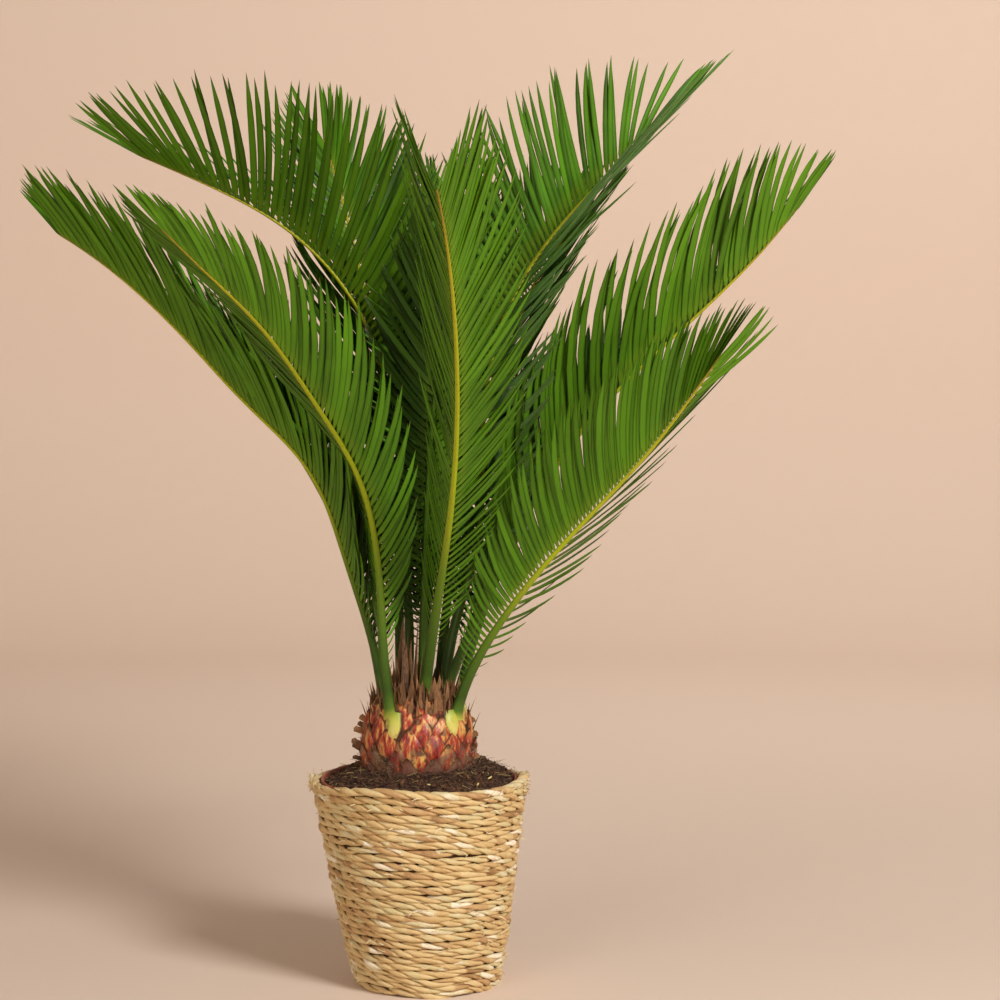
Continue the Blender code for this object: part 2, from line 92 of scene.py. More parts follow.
# Rib width in millimetres by share of the frond's length, and its section as shares of that width
RIB_STATIONS = (0, 0.02, 0.05, 0.12, 0.25, 0.45, 0.75, 1)
RIB_WIDTHS = (16.5, 11.6, 10.6, 9.6, 7.0, 4.7, 3.4, 1.5)
RIB_SECTION = (
    (0.5, 0.02), (0.42, 0.24), (0.16, 0.34), (-0.16, 0.34), (-0.42, 0.24), (-0.5, 0.02), (-0.36, -0.3), (0, -0.42),
    (0.36, -0.3),
)
RIB_STEPS = 80

# Leaflets: where the first one grows and how far below it the spines begin, then stations between it and the tip
FIRST_LEAFLET = 0.13
SPINE_REACH = 0.06
LENGTH_STATIONS = (0, 0.05, 0.19, 0.43, 0.76, 0.92, 1)
FIRST_LENGTH = 22
SWEEP_STATIONS = (0, 0.43, 0.81, 0.9, 0.94, 1)
LEAFLET_STEPS = 14
LEAFLET_THICKNESS = 0.95 * MM

# Lengths are in millimetres and angles in degrees. A row of leaflets has its spacing and its length as shares of the
# usual, how far it droops below the vee at the stalk and at the tip, and its painted sheen. Left and right are seen
# from above, looking along the frond. A frond's painted shade makes its leaflets and rib darker, deep in the crown and
# at the back.
PLAIN_ROW = (1, 1, 0, 0, 0)
USUAL = {
    "turn": 0, "roll": (0, 0), "vee": (46, 42), "sweep": (70, 58, 42, 29, 22, 15), "bend": (30, 8),
    "leaflets": (55, 115, 150, 135, 95, 75), "left_row": PLAIN_ROW, "right_row": PLAIN_ROW, "age": 0,
}


def frond_numbers(foot, heading, length, leans, **own):
    """One frond's numbers: the usual ones, with its own in their place."""
    return {**USUAL, "foot": foot, "heading": heading, "length": length, "leans": leans, **own}


FRONDS = {
    "frond_left": frond_numbers(
        (-43, -6, 268), -174, 546, (7, 18, 20, 45, 42, 48, 59), turn=1, roll=(-17, 6), vee=(37, 48),
        sweep=(57, 42, 30, 30, 30, 30), bend=(42, 8), leaflets=(55, 125, 144, 136, 104, 60),
    ),
    "frond_left_high": frond_numbers(
        (-22, 13, 275), 191, 619, (-6, 5, 3, 17, 41, 64, 70), turn=8, roll=(29, 7), vee=(39, 29),
        sweep=(72, 68, 63, 40, 31, 24), bend=(29, 0), leaflets=(55, 110, 185, 153, 110, 80),
    ),
    "frond_front_left": frond_numbers(
        (-34, -36, 256), -137, 532, (14, 3, 13, 37, 41, 53, 52), roll=(21, 21), vee=(48, 22),
        sweep=(46, 46, 29, 22, 17, 10), bend=(26, 18), leaflets=(46, 82, 126, 98, 76, 54),
    ),
    "frond_front": frond_numbers(
        (-4, -25, 273), -69, 560, (18, 32, 40, 41, 41, 42, 49), turn=-32, roll=(-23, 2), vee=(46, 51),
        sweep=(78, 59, 35, 30, 32, 36), bend=(31, 0), leaflets=(55, 75, 98, 126, 108, 24),
        right_row=(1, 1, -20, -2, 0),
    ),
    "frond_front_right": frond_numbers(
        (25, -27, 254), -27, 430, (15, 32.5, 40, 45, 45, 39, 36), roll=(-30, -29, -29, -28, -28, -50, -120),
        vee=(30, 44), sweep=(80, 60, 36, 26, 20, 12), bend=(32, 14), leaflets=(30, 78, 116, 106, 78, 54),
        left_row=(1.5, 1.1, 16, -22, 0), right_row=(0.68, 1, 0, 0, 0),
    ),
    "frond_right": frond_numbers(
        (15, 0, 273), -9, 566, (19, 27, 26, 40, 47, 46, 37), turn=-1, roll=(-26, -19), vee=(38, 42),
        sweep=(40, 52, 47, 42, 26, 6), bend=(44, 15), leaflets=(60, 132, 152, 144, 96, 62),
    ),
    "frond_right_high": frond_numbers(
        (14, 15, 272), 23, 630, (4, 18, 0, 12, 34, 46, 47), roll=(45, 45), vee=(42, 50),
        sweep=(72, 72, 61, 44, 10, 5), bend=(18, 4), leaflets=(55, 110, 152, 133, 98, 96),
        # The right row's last number is a painted sheen, a pale grey-green that stands for a glossy reflection
        right_row=(1, 1.15, 13, -18, 1.35),
    ),
    "frond_back_left": frond_numbers(
        (-28, 30, 268), 123, 580, (4, 2, 8, 17, 22, 27, 34), age=0.15, left_row=(1, 1, 14, 30, 0)
    ),
    "frond_back": frond_numbers((-5, 35, 266), 88, 600, (8, 10, 16, 26, 36, 46, 56), age=0.4),
    "frond_back_right": frond_numbers((8, 28, 268), 58, 600, (8, 12, 20, 30, 40, 50, 58), roll=(10, 10), age=0.35),
    "frond_right_low": frond_numbers(
        (25, 22, 262), 32, 432, (16, 22, 28, 36, 42, 48, 52), leaflets=(50, 100, 130, 110, 77, 60), age=0.35
    ),
    "frond_inner": frond_numbers(
        (-6, -4, 277), -60, 436, (2, 2, 4, 8, 14, 20, 26), vee=(50, 48), leaflets=(50, 84, 108, 100, 80, 65), age=1.3
    ),
    "frond_left_low": frond_numbers(
        (-44, 10, 266), 160, 400, (10, 14, 20, 30, 36, 42, 48), leaflets=(50, 105, 150, 130, 90, 70), age=0.6
    ),
}

# Studio: colour and strength of the light all round, then lamps with place, size in metres, power and what they face
SKY = ((1, 0.95, 0.86, 1), 0.16)
PLANT_MIDDLE = (0, 0, 0.5)
LAMPS = (
    ("key", (1.75, -2.05, 2.0), 0.9, 86, PLANT_MIDDLE),
    ("fill", (-1.4, -2.4, 1.2), 1.4, 17, PLANT_MIDDLE),
    ("wall", (0.7, 1.2, 2.4), 1.8, 30, (0.6, 3.7, 1.3)),
)


# Sizes and colours


def linear(colour):
    """Linear RGBA of an sRGB hex colour."""
    parts = [int(colour[place : place + 2], 16) / 255 for place in (1, 3, 5)]
    return (*(part / 12.92 if part <= 0.04045 else ((part + 0.055) / 1.055) ** 2.4 for part in parts), 1.0)


def length_setting(name, about, value):
    return bpy.props.FloatProperty(name=name, description=about, default=value, min=0, precision=4, unit="LENGTH")


def count_setting(name, about, value, least, most):
    return bpy.props.IntProperty(name=name, description=about, default=value, min=least, max=most)


def colour_setting(name, about, value):
    return bpy.props.FloatVectorProperty(
        name=name, description=about, default=linear(value), size=4, min=0, max=1, subtype="COLOR"
    )


class FrondSettings(bpy.types.PropertyGroup):
    leaflet_width: length_setting("Leaflet width", "Widest part of a leaflet", 6.5 * MM)
    low_spacing: length_setting("Spacing at the foot", "Distance between leaflets low on the rib", 7.6 * MM)
    tip_spacing: length_setting("Spacing at the tip", "Distance between leaflets near the rib's tip", 6.1 * MM)
    deep_green: colour_setting("Deep green", "Upper side of the darkest leaflets", "#1F3C05")
    fresh_green: colour_setting("Fresh green", "Upper side of the brightest leaflets", "#568A13")
    under_green: colour_setting("Under green", "Underside of the leaflets", "#578016")
    rib_yellow: colour_setting("Rib yellow", "Upper side of the rib", "#A8B414")
    rib_green: colour_setting("Rib green", "Lower stalk of a frond", "#2F4A14")


class StemSettings(bpy.types.PropertyGroup):
    scale_width: length_setting("Scale width", "Width of one leaf-base scale", 26 * MM)
    scale_height: length_setting("Scale height", "Height of one leaf-base scale with its point", 31 * MM)
    scales_round: count_setting("Scales round", "Scales in one ring", 14, 6, 40)
    scale_yellow: colour_setting("Scale yellow", "Streaks of the fresh scales", "#CF9850")
    scale_red: colour_setting("Scale red", "Streaks of the scales half way up", "#A02C1E")
    scale_brown: colour_setting("Scale brown", "Dry edges of the scales", "#532C14")


class BasketSettings(bpy.types.PropertyGroup):
    rows: count_setting("Rope rows", "Rows of rope from foot to rim", 29, 8, 60)
    rim_radius: length_setting("Rim radius", "Outside of the rope at the rim", 102 * MM)
    foot_radius: length_setting("Foot radius", "Outside of the rope at the foot", 69 * MM)
    twist_length: length_setting("Twist length", "Rope length of one full turn of its two strands", 41 * MM)
    straw: colour_setting("Straw", "Most of the grass", "#DCC08A")
    tan: colour_setting("Tan", "Darker blades of grass", "#BC9464")
    pale: colour_setting("Pale", "Bleached blades of grass", "#F2E6CA")


class PotSettings(bpy.types.PropertyGroup):
    terracotta: colour_setting("Terracotta", "Colour of the plant pot", "#A4492E")
    peat: colour_setting("Peat", "Colour of the moist peat", "#3E2413")


class StageSettings(bpy.types.PropertyGroup):
    floor: colour_setting("Floor", "Plain floor and background", "#E7D2BF")
    light: bpy.props.FloatProperty(name="Light", description="Strength of all the lamps", default=1.0, min=0, max=5)


# Materials


def numbers_of(colour):
    return linear(colour) if isinstance(colour, str) else colour


def put(tree, socket, value):
    """Fills a socket with a node's output, an sRGB hex colour or plain numbers."""
    if isinstance(value, bpy.types.NodeSocket):
        tree.links.new(value, socket)
    else:
        socket.default_value = numbers_of(value)


def add_node(tree, kind, settings, output=0):
    """Adds one shader node, sets its properties, fills its sockets and gives back one output."""
    node = tree.nodes.new("ShaderNode" + kind)
    for key, value in settings.items():
        if key == "stops":
            elements = node.color_ramp.elements
            elements.remove(elements[1])
            elements[0].position = value[0][0]
            for position, _ in value[1:]:
                elements.new(position)
            for element, (_, colour) in zip(elements, value):
                element.color = numbers_of(colour)
        elif isinstance(key, str) and hasattr(node, key):
            setattr(node, key, value)
        else:
            put(tree, node.inputs[key], value)
    return node.outputs[output]


class Surface:
    """The material of one real surface, with short ways to add the nodes that most of them share."""

    def __init__(self, name):
        self.material = bpy.data.materials.new(name)
        self.material.use_nodes = True
        self.tree = self.material.node_tree

    def attribute(self, name, output="Fac"):
        return add_node(self.tree, "Attribute", {"attribute_name": name}, output)

    def noise(self, scale, detail, roughness=0.5, along=1, vector=None):
        """Noise over the object or another vector, drawn out along Z where along is under 1."""
        if vector is None:
            vector = add_node(self.tree, "TexCoord", {}, "Object")
        if along != 1:
            vector = add_node(self.tree, "Mapping", {"Scale": (1, 1, along), "Vector": vector})
        settings = {"Scale": scale, "Detail": detail, "Roughness": roughness, "Vector": vector}
        return add_node(self.tree, "TexNoise", settings)

    def span(self, value, start, end, low=0, high=1):
        """A value carried from the range start to end onto the range low to high."""
        settings = {"Value": value, "From Min": start, "From Max": end, "To Min": low, "To Max": high}
        return add_node(self.tree, "MapRange", settings)

    def sum(self, value, share, plus, clamp=False):
        """A share of a value, plus a number or another value."""
        return add_node(
            self.tree, "Math", {"operation": "MULTIPLY_ADD", "use_clamp": clamp, 0: value, 1: share, 2: plus}
        )

    def mix(self, amount, colour, over):
        return add_node(self.tree, "MixRGB", {"Fac": amount, "Color1": colour, "Color2": over})

    def layer(self, colour, value, start, end, low, high, over):
        """Lays another colour over the first, as strongly as a value's span says."""
        return self.mix(self.span(value, start, end, low, high), colour, over)

    def ramp(self, value, *stops):
        return add_node(self.tree, "ValToRGB", {"stops": stops, "Fac": value})

    def finish(self, colour, roughness, height=None, strength=0.5, depth=0.6 * MM, specular=0.5):
        """Fills the shader, with a bump where there is a height, and gives back the material."""
        sockets = {"Base Color": colour, "Roughness": roughness, "Specular IOR Level": specular}
        if height is not None:
            bump = {"Strength": strength, "Distance": depth, "Height": height}
            sockets["Normal"] = add_node(self.tree, "Bump", bump)
        for key, value in sockets.items():
            put(self.tree, self.tree.nodes["Principled BSDF"].inputs[key], value)
        return self.material


def leaflet_material(settings):
    """Leathery cycad leaflet: waxy and smooth above, so it shines in streaks, paler below, with a light middle line."""
    leaf = Surface("Leathery leaflet")
    tone, along, middle, below, height = map(leaf.attribute, ("tone", "along", "middle", "below", "height"))
    # Patches of growth some 30 mm across
    patches = leaf.noise(33, 3)
    mixed = leaf.sum(leaf.sum(patches, 0.7, -0.35), 1, tone, clamp=True)
    colour = leaf.mix(mixed, settings.deep_green, settings.fresh_green)
    layers = (
        # The foot of a leaflet is yellower, where it leaves the rib
        (along, 0, 0.16, 0.55, 0, "#7E8E1C"),
        # The margins roll under, and painted shade darkens them between neighbours. The middle line is light.
        (middle, 0.34, 0, 0, 0.7, "#142804"),
        (middle, 0.86, 1, 0, 0.4, "#638C20"),
        (below, 0, 1, 0, 0.45, settings.under_green),
        # Painted shade darkens leaflets deep inside the crown, and a painted sheen lightens one row
        (tone, 0, -0.8, 0, 0.75, "#0C1A04"),
        (tone, 1, 2, 0, 0.55, "#93C27C"),
        # Dry points at the end of some leaflets, and the newest leaflets near the frond's tip a little lighter
        (along, 0.955, 1, 0, 0.8, "#7A5A2A"),
        (height, 0.55, 1, 0, 0.16, "#5A8418"),
    )
    for layer in layers:
        colour = leaf.layer(colour, *layer)
    # Fine lengthwise grain, drawn at 2 mm because the real 0.3 mm veins are too fine to show
    grain = leaf.noise(500, 2)
    return leaf.finish(colour, leaf.span(patches, 0, 1, 0.36, 0.52), grain, 0.12, 0.3 * MM, 0.15)


def rib_material(settings):
    """Living frond rib: hard and satin, dark green and dusty at the stalk, yellow where it carries leaflets."""
    rib = Surface("Frond rib")
    colour = rib.ramp(
        rib.attribute("share"), (0, "#C8C45C"), (0.007, "#A2A840"), (0.018, "#4E7020"), (0.05, settings.rib_green),
        (0.14, "#456216"), (0.25, "#658216"), (0.34, "#92A018"), (0.46, settings.rib_yellow), (0.85, "#AEA61C"),
        (1, "#96742A"),
    )
    # Small brown freckles, 2 to 3 mm apart
    spots = rib.noise(380, 2)
    colour = rib.layer(colour, spots, 0.62, 0.72, 0, 0.45, "#6E4E24")
    # Painted shade: ribs of fronds deep in the crown and at the back are mixed towards a dull dark green
    colour = rib.mix(rib.attribute("age"), colour, "#35500C")
    colour = rib.layer(colour, rib.attribute("above"), 0.1, 0.5, 0.14, 0, "#46600F")
    return rib.finish(colour, 0.4, spots, 0.2, 0.4 * MM, 0.22)


def scale_material(settings):
    """Fresh leaf-base scale: firm and satin, yellow to crimson in streaks, with dry fibrous brown edges."""
    scale = Surface("Leaf-base scale")
    edge, rise, zone, luck = map(scale.attribute, ("edge", "rise", "zone", "luck"))
    # Streaks 2 mm wide that run up the stem
    streaks = scale.noise(230, 4, 0.62, 0.25)
    # Warmth: 0 is crimson and 1 is pale yellow. Streaks make most of it, and it rises up the stem and up each scale.
    warm = scale.sum(rise, 0.34, scale.sum(luck, 0.34, scale.sum(zone, 0.3, -1.42)))
    colour = scale.ramp(
        scale.sum(streaks, 2.6, warm, clamp=True),
        (0, "#6A140E"), (0.25, settings.scale_red), (0.42, "#B2542C"), (0.6, settings.scale_yellow), (1, "#E2BC5E"),
    )
    # The feet of the youngest stalks are yellow-green
    shield = scale.ramp(rise, (0, "#B0823E"), (0.3, "#D4C66C"), (0.7, "#BCBC4A"), (1, "#8E9E34"))
    colour = scale.layer(colour, zone, 1.2, 1.5, 0, 1, shield)
    # Scales near the soil are old: grey-brown over most of their face
    aged = scale.sum(streaks, 0.4, scale.sum(scale.span(zone, 0.45, 0, 0, 0.3), 1, scale.noise(95, 3)))
    colour = scale.layer(colour, aged, 0.76, 0.98, 0, 0.85, "#64493A")
    rim = scale.span(scale.sum(scale.sum(streaks, 0.5, -0.25), 1, edge), 0.3, 0.75)
    colour = scale.mix(rim, colour, settings.scale_brown)
    return scale.finish(colour, scale.span(rim, 0, 1, 0.42, 0.85), streaks, 0.5, 0.8 * MM)


def dry_material(name, dark, light, grain_mm, roughness):
    """Dead plant fibre, dull and streaked along the stem. The tone attribute picks between its two colours."""
    fibre = Surface(name)
    streaks = fibre.noise(1 / (grain_mm * MM), 4, along=0.2)
    mixed = fibre.span(fibre.sum(fibre.attribute("tone"), 0.6, streaks), 0.4, 1.1)
    return fibre.finish(fibre.mix(mixed, dark, light), roughness, streaks)


def peat_material(settings):
    """Peat: dull, nearly black where damp, with brown crumbs. It takes light unevenly."""
    peat = Surface("Moist peat")
    crumbs = peat.noise(300, 6, 0.7)
    colour = peat.ramp(crumbs, (0.3, "#140B07"), (0.5, settings.peat), (0.62, "#6C482A"), (0.78, "#98744C"))
    return peat.finish(colour, 0.92, crumbs, 0.8, 1.2 * MM)


def pot_material(settings):
    """Moulded polypropylene: matt brick red, a little dusty, with faint marks from the soil."""
    plastic = Surface("Terracotta polypropylene")
    dust = plastic.noise(120, 5, 0.6)
    colour = plastic.layer(settings.terracotta, dust, 0.45, 0.75, 0, 0.5, "#5B3626")
    return plastic.finish(colour, plastic.span(dust, 0, 1, 0.38, 0.6))


def rope_material(settings):
    """Twisted dried seagrass: flat blades in a bundle, satin on their backs, straw to tan, with painted shade in its
    grooves.
    """
    rope = Surface("Dried seagrass rope")
    # Fibre vectors are in millimetres: grooves 0.8 mm apart that run some 20 mm along the strand
    grooves = rope.noise(1.3, 4, 0.6, 0.05, rope.attribute("fibre", "Vector"))
    blotches = rope.sum(rope.sum(rope.noise(60, 3), 0.55, -0.28), 1, rope.attribute("tone"))
    mixed = rope.sum(rope.sum(grooves, 0.5, -0.25), 1, blotches, clamp=True)
    colour = rope.ramp(
        mixed, (0, "#9A7444"), (0.18, settings.tan), (0.4, "#CDAD74"), (0.62, settings.straw), (0.8, "#CDBE8A"),
        (0.96, settings.pale),
    )
    # Painted shade darkens the grooves between the blades
    colour = rope.layer(colour, grooves, 0.42, 0.3, 0, 0.5, "#7A4F28")
    return rope.finish(colour, 0.62, grooves, 0.7, 0.7 * MM)


# Meshes


def seat(name, mesh, material, nodes, crease):
    """Seats a finished mesh in the frame, in place of its nodes, with sharp edges where it turns by over crease."""
    mesh.polygons.foreach_set("use_smooth", [True] * len(mesh.polygons))
    mesh.set_sharp_from_angle(angle=math.radians(crease))
    mesh.materials.append(material)
    piece = bpy.data.objects.new(name, mesh)
    bpy.context.scene.collection.objects.link(piece)
    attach(piece, "root")
    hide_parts(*nodes)


def make_piece(name, points, faces, material, nodes, values=None, vectors=None, crease=45):
    """Makes a piece from points and faces, with its attributes."""
    mesh = bpy.data.meshes.new(name)
    mesh.from_pydata(points.reshape(-1, 3), [], faces)
    for kind, socket, layers in (("FLOAT", "value", values), ("FLOAT_VECTOR", "vector", vectors)):
        for key, numbers in (layers or {}).items():
            layer = mesh.attributes.new(key, kind, "POINT")
            layer.data.foreach_set(socket, np.asarray(numbers, np.float32).ravel())
    seat(name, mesh, material, nodes, crease)


def bmesh_piece(name, bm, material, nodes, crease=40):
    mesh = bpy.data.meshes.new(name)
    bm.to_mesh(mesh)
    bm.free()
    seat(name, mesh, material, nodes, crease)


def shape_of(bm):
    """Points and faces of a small bmesh, which is freed."""
    bm.verts.index_update()
    points = np.array([vert.co for vert in bm.verts])
    faces = [[vert.index for vert in face.verts] for face in bm.faces]
    bm.free()
    return points, faces


def copies(faces, points_each, count):
    """The faces of one small shape, repeated for every copy."""
    return [[corner + points_each * copy for corner in face] for copy in range(count) for face in faces]


def turned(outline, sides):
    """A closed solid turned about the Z axis from (radius, height) points that begin and end on it."""
    bm = bmesh.new()
    verts = [bm.verts.new((radius, 0, height)) for radius, height in outline]
    edges = [bm.edges.new(pair) for pair in zip(verts, verts[1:])]
    bmesh.ops.spin(bm, geom=verts + edges, cent=(0, 0, 0), axis=(0, 0, 1), angle=TURN, steps=sides, use_merge=True)
    bmesh.ops.remove_doubles(bm, verts=bm.verts, dist=0.01 * MM)
    bmesh.ops.recalc_face_normals(bm, faces=bm.faces)
    return bm


def grow_rings(bm, sides, count):
    """Grows a closed tube from one round face, and gives the face at its end after each ring."""
    bmesh.ops.create_circle(bm, cap_ends=True, segments=sides, radius=1)
    bm.faces.ensure_lookup_table()
    end = bm.faces[0]
    for ring in range(count):
        if ring == 1:
            grown = bmesh.ops.extrude_face_region(bm, geom=[end])["geom"]
            end = next(item for item in grown if isinstance(item, bmesh.types.BMFace))
        elif ring:
            end = bmesh.ops.extrude_discrete_faces(bm, faces=[end])["faces"][0]
        yield end


def basket_middle(height):
    """Where the leaning basket's middle stands along X at a height."""
    return BASKET_FOOT + (BASKET_LEAN - BASKET_FOOT) * height / BASKET_TOP


def lean_with_basket(bm):
    for vert in bm.verts:
        vert.co.x += basket_middle(vert.co.z)


def unit(vectors):
    return vectors / np.maximum(np.linalg.norm(vectors, axis=-1, keepdims=True), 1e-9)


def level(angle):
    """Outward and sideways directions on a level circle."""
    x, y, flat = np.cos(angle), np.sin(angle), 0 * angle
    return np.stack((x, y, flat), axis=-1), np.stack((-y, x, flat), axis=-1)


# Blades: leaflets, spines, sheaths, bracts and fibres are all drawn along a path from one small shape


class Blade:
    """A closed pointed shape of rings along Y. It keeps each point's ring and corner, so that copies can be bent."""

    def __init__(self, corners, stations):
        self.corners = np.array(corners, float)
        self.stations = np.array(stations, float)
        last = len(stations) - 1
        bm = bmesh.new()
        marks = {}
        for ring, end in enumerate(grow_rings(bm, len(corners), last)):
            marks.update({vert: (ring, corner) for corner, vert in enumerate(end.verts)})
        tip = bmesh.ops.poke(bm, faces=[end])["verts"][0]
        marks[tip] = (last, 0)
        for vert, (ring, corner) in marks.items():
            across, lift = self.corners[corner]
            vert.co = (across, self.stations[ring] * 20, lift) if vert is not tip else (0, 20, 0)
        bmesh.ops.recalc_face_normals(bm, faces=bm.faces)
        self.ring, self.corner = np.array([marks[vert] for vert in bm.verts]).T
        self.size = len(bm.verts)
        _, self.faces = shape_of(bm)

    def draw(self, path, across, normal, half, thick):
        """Points of every copy. Each argument is given by copy and ring, and half and thick end in 0 at the tip."""
        sideways = across[:, self.ring] * (half[:, self.ring] * self.corners[self.corner, 0])[..., None]
        upwards = normal[:, self.ring] * (thick[:, self.ring] * self.corners[self.corner, 1])[..., None]
        return path[:, self.ring] + sideways + upwards


LEAFLET = Blade(
    ((-1, -1), (-0.6, -0.1), (0, 0.25), (0.6, -0.1), (1, -1), (0.55, -0.45), (0, -1.05), (-0.55, -0.45)),
    (0, 1 / 14, 3 / 14, 6 / 14, 9 / 14, 11 / 14, 13 / 14, 1),
)
STRAP = Blade(((-1, 0), (0, 0.6), (1, 0), (0, -0.4)), (0, 0.15, 0.35, 0.6, 0.85, 1))
FIBRE = Blade(((-1, -0.5), (0, 1), (1, -0.5)), (0, 0.4, 0.75, 1))


def draw_curved(blade, roots, starts, ends, lengths, widths, thicks, profile, facing):
    """Copies of a blade that set off one way and turn to another. facing is the way that each upper side looks."""
    share = blade.stations[None, :, None]
    path = starts[:, None] * (share - share**2 / 2) + ends[:, None] * share**2 / 2
    path = roots[:, None] + np.reshape(lengths, (-1, 1, 1)) * path
    forward = unit(starts[:, None] * (1 - share) + ends[:, None] * share)
    across = unit(np.cross(forward, facing[:, None]))
    normal = np.cross(across, forward)
    outline = np.interp(blade.stations, *profile)
    half = np.reshape(widths, (-1, 1)) / 2 * outline
    thick = np.reshape(thicks, (-1, 1)) * outline
    half[:, -1] = 0
    thick[:, -1] = 0
    return blade.draw(path, across, normal, half, thick)


def blade_piece(name, blade, points, tone, material, nodes, crease=45):
    """One piece of many copies of a blade, each with its own tone."""
    faces = copies(blade.faces, blade.size, len(points))
    make_piece(name, points, faces, material, nodes, {"tone": np.repeat(tone, blade.size)}, crease=crease)


# Fronds


def lean_at(leans, share):
    """Leans at shares of the rib's length, on a smooth curve through the stations."""
    place = share * (len(leans) - 1)
    first = np.minimum(place.astype(int), len(leans) - 2)
    part = place - first
    ends = np.array((2 * leans[0] - leans[1], *leans, 2 * leans[-1] - leans[-2]), float)
    a, b, c, d = (ends[first + step] for step in range(4))
    curve = 2 * b + (c - a) * part + (2 * a - 5 * b + 4 * c - d) * part**2
    return 0.5 * (curve + (3 * b - a - 3 * c + d) * part**3)


def directions(frond, share):
    """Forward, upper and side directions of the rib at shares of its length, before its roll."""
    out, side = level(np.radians(frond["heading"] + frond["turn"] * share))
    lean = np.radians(lean_at(frond["leans"], share))[:, None]
    return out * np.sin(lean) + UP * np.cos(lean), UP * np.sin(lean) - out * np.cos(lean), side


class Rib:
    """The path of a frond's rib, which gives its point and directions at any share of its length."""

    def __init__(self, frond):
        self.share = np.linspace(0, 1, RIB_STEPS + 1)
        forward, upper, side = directions(frond, self.share)
        roll = np.interp(self.share, np.linspace(0, 1, len(frond["roll"])), frond["roll"])
        roll = np.radians(roll)[:, None]
        steps, _, _ = directions(frond, self.share[:-1] + 0.5 / RIB_STEPS)
        travelled = np.vstack((np.zeros((1, 3)), np.cumsum(steps, axis=0))) * frond["length"] * MM / RIB_STEPS
        point = np.array(frond["foot"]) * MM + travelled
        rolled = upper * np.cos(roll) - side * np.sin(roll), side * np.cos(roll) + upper * np.sin(roll)
        self.rows = np.hstack((point, forward, *rolled))

    def at(self, share):
        values = np.stack([np.interp(share, self.share, column) for column in self.rows.T], axis=-1)
        return [values[..., start : start + 3] for start in (0, 3, 6, 9)]


def leaflet_arrays(frond, rib, shares, hands, chance):
    """Path, across and normal of every leaflet by ring, and the lengths. The rule is the solids' own, finer."""
    count = len(shares)
    station = np.clip((shares - FIRST_LEAFLET) / (1 - FIRST_LEAFLET), 0, 1)
    point, forward, upper, side = rib.at(shares)
    side = side * hands[:, None]
    sweep = np.interp(station, SWEEP_STATIONS, frond["sweep"]) + chance.normal(0, 1.6, count)
    bend = np.interp(station, (0, 1), frond["bend"]) + chance.normal(0, 3, count)
    vee = np.interp(station, (0, 1), frond["vee"]) + chance.normal(0, 2.2, count)
    rows = np.where(hands[:, None] > 0, frond["left_row"], frond["right_row"])
    vee = np.radians(vee - rows[:, 2] - (rows[:, 3] - rows[:, 2]) * station)[:, None]
    length = np.interp(station, LENGTH_STATIONS, (FIRST_LENGTH, *frond["leaflets"])) * rows[:, 1] * MM
    length = length * (1 + chance.normal(0, 0.03, count))
    outward = side * np.cos(vee) + upper * np.sin(vee)
    fine = np.linspace(0, 1, LEAFLET_STEPS + 1)
    angle = np.radians(np.maximum(sweep[:, None] - bend[:, None] * fine, 3))[..., None]
    heading = forward[:, None] * np.cos(angle) + outward[:, None] * np.sin(angle)
    # Leaflets grow from the rib's upper edges
    width = np.interp(shares, RIB_STATIONS, RIB_WIDTHS)[:, None] * MM
    root = point + side * width * 0.36 + upper * width * 0.14
    gone = np.cumsum((heading[:, 1:] + heading[:, :-1]) / 2, axis=1) * (length[:, None, None] / LEAFLET_STEPS)
    path = root[:, None] + np.concatenate((np.zeros((count, 1, 3)), gone), axis=1)
    rings = (LEAFLET.stations * LEAFLET_STEPS).round().astype(int)
    path, heading = path[:, rings], heading[:, rings]
    plane = forward[:, None] * hands[:, None, None]
    across = unit(plane - heading * (plane * heading).sum(-1, keepdims=True))
    normal = np.cross(across, heading)
    twist = np.radians(chance.normal(0, 7, count))[:, None, None] * (0.3 + LEAFLET.stations[None, :, None])
    across, normal = across * np.cos(twist) + normal * np.sin(twist), normal * np.cos(twist) - across * np.sin(twist)
    return path, across, normal, length


